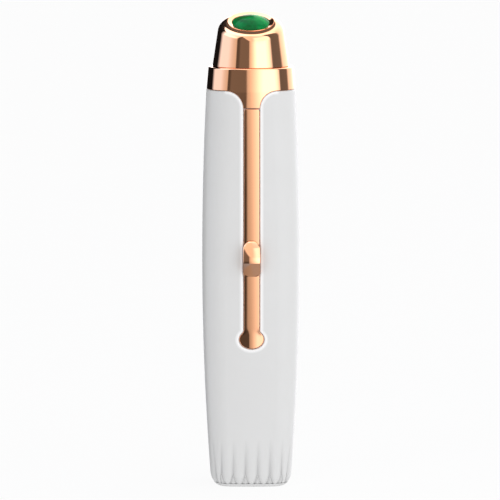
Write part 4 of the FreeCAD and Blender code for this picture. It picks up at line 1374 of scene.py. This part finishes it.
def tent_glow(azimuth, elevation):
    """Colour of the tent: upright panels, a canopy that is dark behind the tip, and the ground."""
    panels = looked_up(azimuth, PANELS) * looked_up(elevation, PANEL_DIMMING)
    panels = panels * (1 - looked_up(azimuth, SHADE_AZIMUTHS) * (1 - looked_up(elevation, SHADE_LEVELS)))
    tops = looked_up(azimuth, PANEL_TOPS)
    starts = np.maximum(looked_up(azimuth, ZENITH_STARTS), tops)
    glow = panels
    for part, height, low, high in (
            (looked_up(azimuth, CANOPY), elevation, tops, tops + CANOPY_FADE),
            (looked_up(azimuth, ZENITH), elevation, starts, starts + ZENITH_FADE),
            (looked_up(direction(azimuth, elevation)[:, 0], GROUND), -elevation,
             -GROUND_ELEVATION - GROUND_FADE, -GROUND_ELEVATION + GROUND_FADE)):
        glow = glow + (part - glow) * smooth(height, low, high)
    tint = looked_up(azimuth, TINT)[:, None] * (np.array(TINT_COLOUR) - 1)
    return np.column_stack([glow[:, None] * (1 + tint), np.ones(len(glow))])


def new_sheet(name, points, faces, material):
    """A piece of the studio, as a mesh with one material."""
    mesh = bpy.data.meshes.new(name)
    mesh.from_pydata(points, [], faces)
    mesh.materials.append(material)
    sheet = bpy.data.objects.new(name, mesh)
    bpy.context.scene.collection.objects.link(sheet)
    return sheet


def make_tent(scene):
    """A ball of light round the wand, which only reflections see."""
    azimuths = np.arange(-180, 180 + TENT_STEP / 2, TENT_STEP)
    azimuth, elevation = np.meshgrid(azimuths, np.linspace(-TENT_POLE, TENT_POLE, TENT_ROWS))
    azimuth, elevation = azimuth.ravel(), elevation.ravel()
    view = math.degrees(scene.wand_studio.view_azimuth)
    points = direction(azimuth - view, elevation) * TENT_RADIUS + np.array([0, 0, TENT_MIDDLE])
    width = len(azimuths)
    faces = [(start + i, start + i + 1, start + width + i + 1, start + width + i)
             for start in range(0, (TENT_ROWS - 1) * width, width) for i in range(width - 1)]
    material, tree, _ = new_material("studio_tent_glow")
    light = add_node(tree, "Emission", "Emission",
                     {"Color": add_node(tree, "Attribute", "Color", attribute_name="glow")})
    tree.links.new(light, tree.nodes["Material Output"].inputs["Surface"])
    tent = new_sheet("studio_tent", [tuple(p) for p in points], faces, material)
    glow = tent.data.attributes.new("glow", "FLOAT_COLOR", "POINT")
    glow.data.foreach_set("color", tent_glow(azimuth, elevation).ravel())
    tent.visible_camera = False
    tent.visible_diffuse = False
    tent.visible_shadow = False
    tent.visible_transmission = False


def make_floor():
    """A pale floor that keeps the wand's shadow."""
    material, tree, shader = new_material("studio_floor")
    set_inputs(tree, shader, {
        "Base Color": add_ramp(tree, add_noise(tree, 40), [(0.3, 0.88), (0.7, 0.9)]),
        "Roughness": 0.9})
    seen = add_node(tree, "LightPath", "Is Camera Ray")
    share = add_node(tree, "MapRange", "Result", {
        "Value": seen, "To Min": FLOOR_WHITE, "To Max": FLOOR_WHITE_SEEN})
    white = add_node(tree, "Emission", "Emission", {"Strength": 1.0})
    both = add_node(tree, "MixShader", "Shader", {"Fac": share, 1: shader.outputs["BSDF"], 2: white})
    tree.links.new(both, tree.nodes["Material Output"].inputs["Surface"])
    half = FLOOR_SIZE / 2
    corners = [(x, y, -FLOOR_DROP) for x, y in ((-half, -half), (half, -half), (half, half), (-half, half))]
    floor = new_sheet("studio_floor", corners, [(0, 1, 2, 3)], material)
    floor.visible_glossy = False


def make_world(left, right):
    """White for the camera, for gloss and through glass. Other rays get soft light, stronger on the right."""
    world = bpy.data.worlds.new("studio_white")
    bpy.context.scene.world = world
    world.use_nodes = True
    tree = world.node_tree
    sideways = add_node(tree, "SeparateXYZ", "X", {"Vector": add_node(tree, "TexCoord", "Generated")})
    ambient = add_node(tree, "MapRange", "Result",
                       {"Value": sideways, "From Min": -1.0, "To Min": left, "To Max": right})
    white = add_node(tree, "LightPath", "Is Camera Ray")
    for ray in ("Is Glossy Ray", "Is Transmission Ray"):
        white = add_node(tree, "Math", "Value", {0: white, 1: add_node(tree, "LightPath", ray)},
                         operation="MAXIMUM")
    strength = add_node(tree, "MapRange", "Result", {"Value": white, "To Min": ambient, "To Max": 1.0})
    set_inputs(tree, tree.nodes["Background"], {"Color": (1, 1, 1, 1), "Strength": strength})


def lamp(name, place, target, size, power):
    """A square soft light that is itself seen neither by the camera nor in gloss."""
    data = bpy.data.lights.new(name, "AREA")
    data.shape = "RECTANGLE"
    data.size = data.size_y = size
    data.energy = power
    light = bpy.data.objects.new(name, data)
    light.location = place
    light.rotation_euler = (Vector(target) - Vector(place)).to_track_quat("-Z", "Y").to_euler()
    light.visible_glossy = False
    light.visible_camera = False
    bpy.context.scene.collection.objects.link(light)


def make_camera(s):
    """A camera at this angle, from which the picture at the wand is as wide as asked."""
    data = bpy.data.cameras.new("studio_camera")
    data.sensor_width = SENSOR_WIDTH
    data.lens = data.sensor_width * s.view_distance / s.view_width
    data.clip_end = FAR_CLIP
    camera = bpy.data.objects.new("studio_camera", data)
    away = Vector((-math.sin(s.view_azimuth) * math.cos(s.view_elevation),
                   -math.cos(s.view_azimuth) * math.cos(s.view_elevation), math.sin(s.view_elevation)))
    target = Vector((-s.view_shift, 0, s.view_height))
    camera.location = target + away * s.view_distance
    camera.rotation_euler = (-away).to_track_quat("-Z", "Y").to_euler()
    bpy.context.scene.collection.objects.link(camera)
    bpy.context.scene.camera = camera


# ------------------------------------------------------------------------------ operators
def dress(piece, body, slot, node):
    """Finishes a piece and lets it ride a body, in place of the frame's node."""
    piece.data.materials.append(finish(slot))
    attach(piece, body)
    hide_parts(node)


class WAND_OT_sleeve(bpy.types.Operator):
    """Build the white sleeve with its reeds, mouth and channel"""
    bl_idname = "wand.sleeve"
    bl_label = "Barrel sleeve"

    def execute(self, context):
        dress(sleeve_mesh(context.scene), "handle", "white_shell", "body_sleeve")
        return {"FINISHED"}


class WAND_OT_inlay(bpy.types.Operator):
    """Build the rose-gold strip in the channel"""
    bl_idname = "wand.inlay"
    bl_label = "Inlay strip"

    def execute(self, context):
        dress(strip_mesh(context.scene), "handle", "rose_gold", "contact_strip")
        return {"FINISHED"}


class WAND_OT_collar(bpy.types.Operator):
    """Build the collar with its tongue"""
    bl_idname = "wand.collar"
    bl_label = "Collar"

    def execute(self, context):
        dress(collar_mesh(context.scene), "handle", "rose_gold", "collar")
        return {"FINISHED"}


class WAND_OT_head(bpy.types.Operator):
    """Build the head, the dished ring and the stone"""
    bl_idname = "wand.head"
    bl_label = "Head and tip"

    def execute(self, context):
        dress(head_mesh(context.scene), "handle", "rose_gold", "head_shell")
        dress(ring_mesh(context.scene), "handle", "rose_gold", "tip_bezel")
        dress(stone_mesh(context.scene), "tip", "green_stone", "tip_gem")
        return {"FINISHED"}


class WAND_OT_nub(bpy.types.Operator):
    """Build the thumb nub of the slider"""
    bl_idname = "wand.nub"
    bl_label = "Thumb nub"

    def execute(self, context):
        dress(nub_mesh(context.scene), "slider", "rose_gold", "thumb_button")
        return {"FINISHED"}


class WAND_OT_inner_parts(bpy.types.Operator):
    """Give every part that keeps its frame mesh the finish of its slot"""
    bl_idname = "wand.inner_parts"
    bl_label = "Inner parts"

    def execute(self, context):
        for row in frame["record"]["subparts"]:
            mesh = frame["nodes"][row["node"]].data
            mesh.materials.clear()
            mesh.materials.append(finish(row["material_slot"]))
        return {"FINISHED"}


class WAND_OT_studio(bpy.types.Operator):
    """Set the floor, the tent of light, the lamps, the background and the camera"""
    bl_idname = "wand.studio"
    bl_label = "Studio"

    def execute(self, context):
        s = context.scene.wand_studio
        middle = (0, 0, s.view_height)
        make_floor()
        make_tent(context.scene)
        make_world(s.ambient_left, s.ambient_right)
        lamp("lamp_right", LAMP_RIGHT, middle, LAMP_RIGHT_SIZE, s.right_lamp)
        lamp("lamp_left", LAMP_LEFT, middle, LAMP_LEFT_SIZE, s.left_lamp)
        make_camera(s)
        context.scene.view_settings.view_transform = "Standard"
        return {"FINISHED"}


class WAND_PT_panel(bpy.types.Panel):
    bl_idname = "WAND_PT_panel"
    bl_label = "Eye massager wand"
    bl_space_type = "VIEW_3D"
    bl_region_type = "UI"
    bl_category = "Wand"

    def draw(self, context):
        for operator in OPERATORS:
            self.layout.operator(operator.bl_idname)
        for name, group in GROUPS.items():
            box = self.layout.box()
            box.label(text=name.replace("wand_", "").replace("_", " ").capitalize())
            for setting in group.__annotations__:
                box.prop(getattr(context.scene, name), setting)


OPERATORS = (WAND_OT_sleeve, WAND_OT_inlay, WAND_OT_collar, WAND_OT_head, WAND_OT_nub, WAND_OT_inner_parts,
             WAND_OT_studio)


def register():
    for name, group in GROUPS.items():
        bpy.utils.register_class(group)
        setattr(bpy.types.Scene, name, PointerProperty(type=group))
    for item in OPERATORS + (WAND_PT_panel,):
        bpy.utils.register_class(item)


def unregister():
    for item in reversed(OPERATORS + (WAND_PT_panel,)):
        bpy.utils.unregister_class(item)
    for name, group in GROUPS.items():
        delattr(bpy.types.Scene, name)
        bpy.utils.unregister_class(group)


def main():
    register()
    bpy.ops.wand.inner_parts()
    bpy.ops.wand.sleeve()
    bpy.ops.wand.inlay()
    bpy.ops.wand.collar()
    bpy.ops.wand.head()
    bpy.ops.wand.nub()
    bpy.ops.wand.studio()
    bpy.context.view_layer.update()


if __name__ == "__main__":
    main()
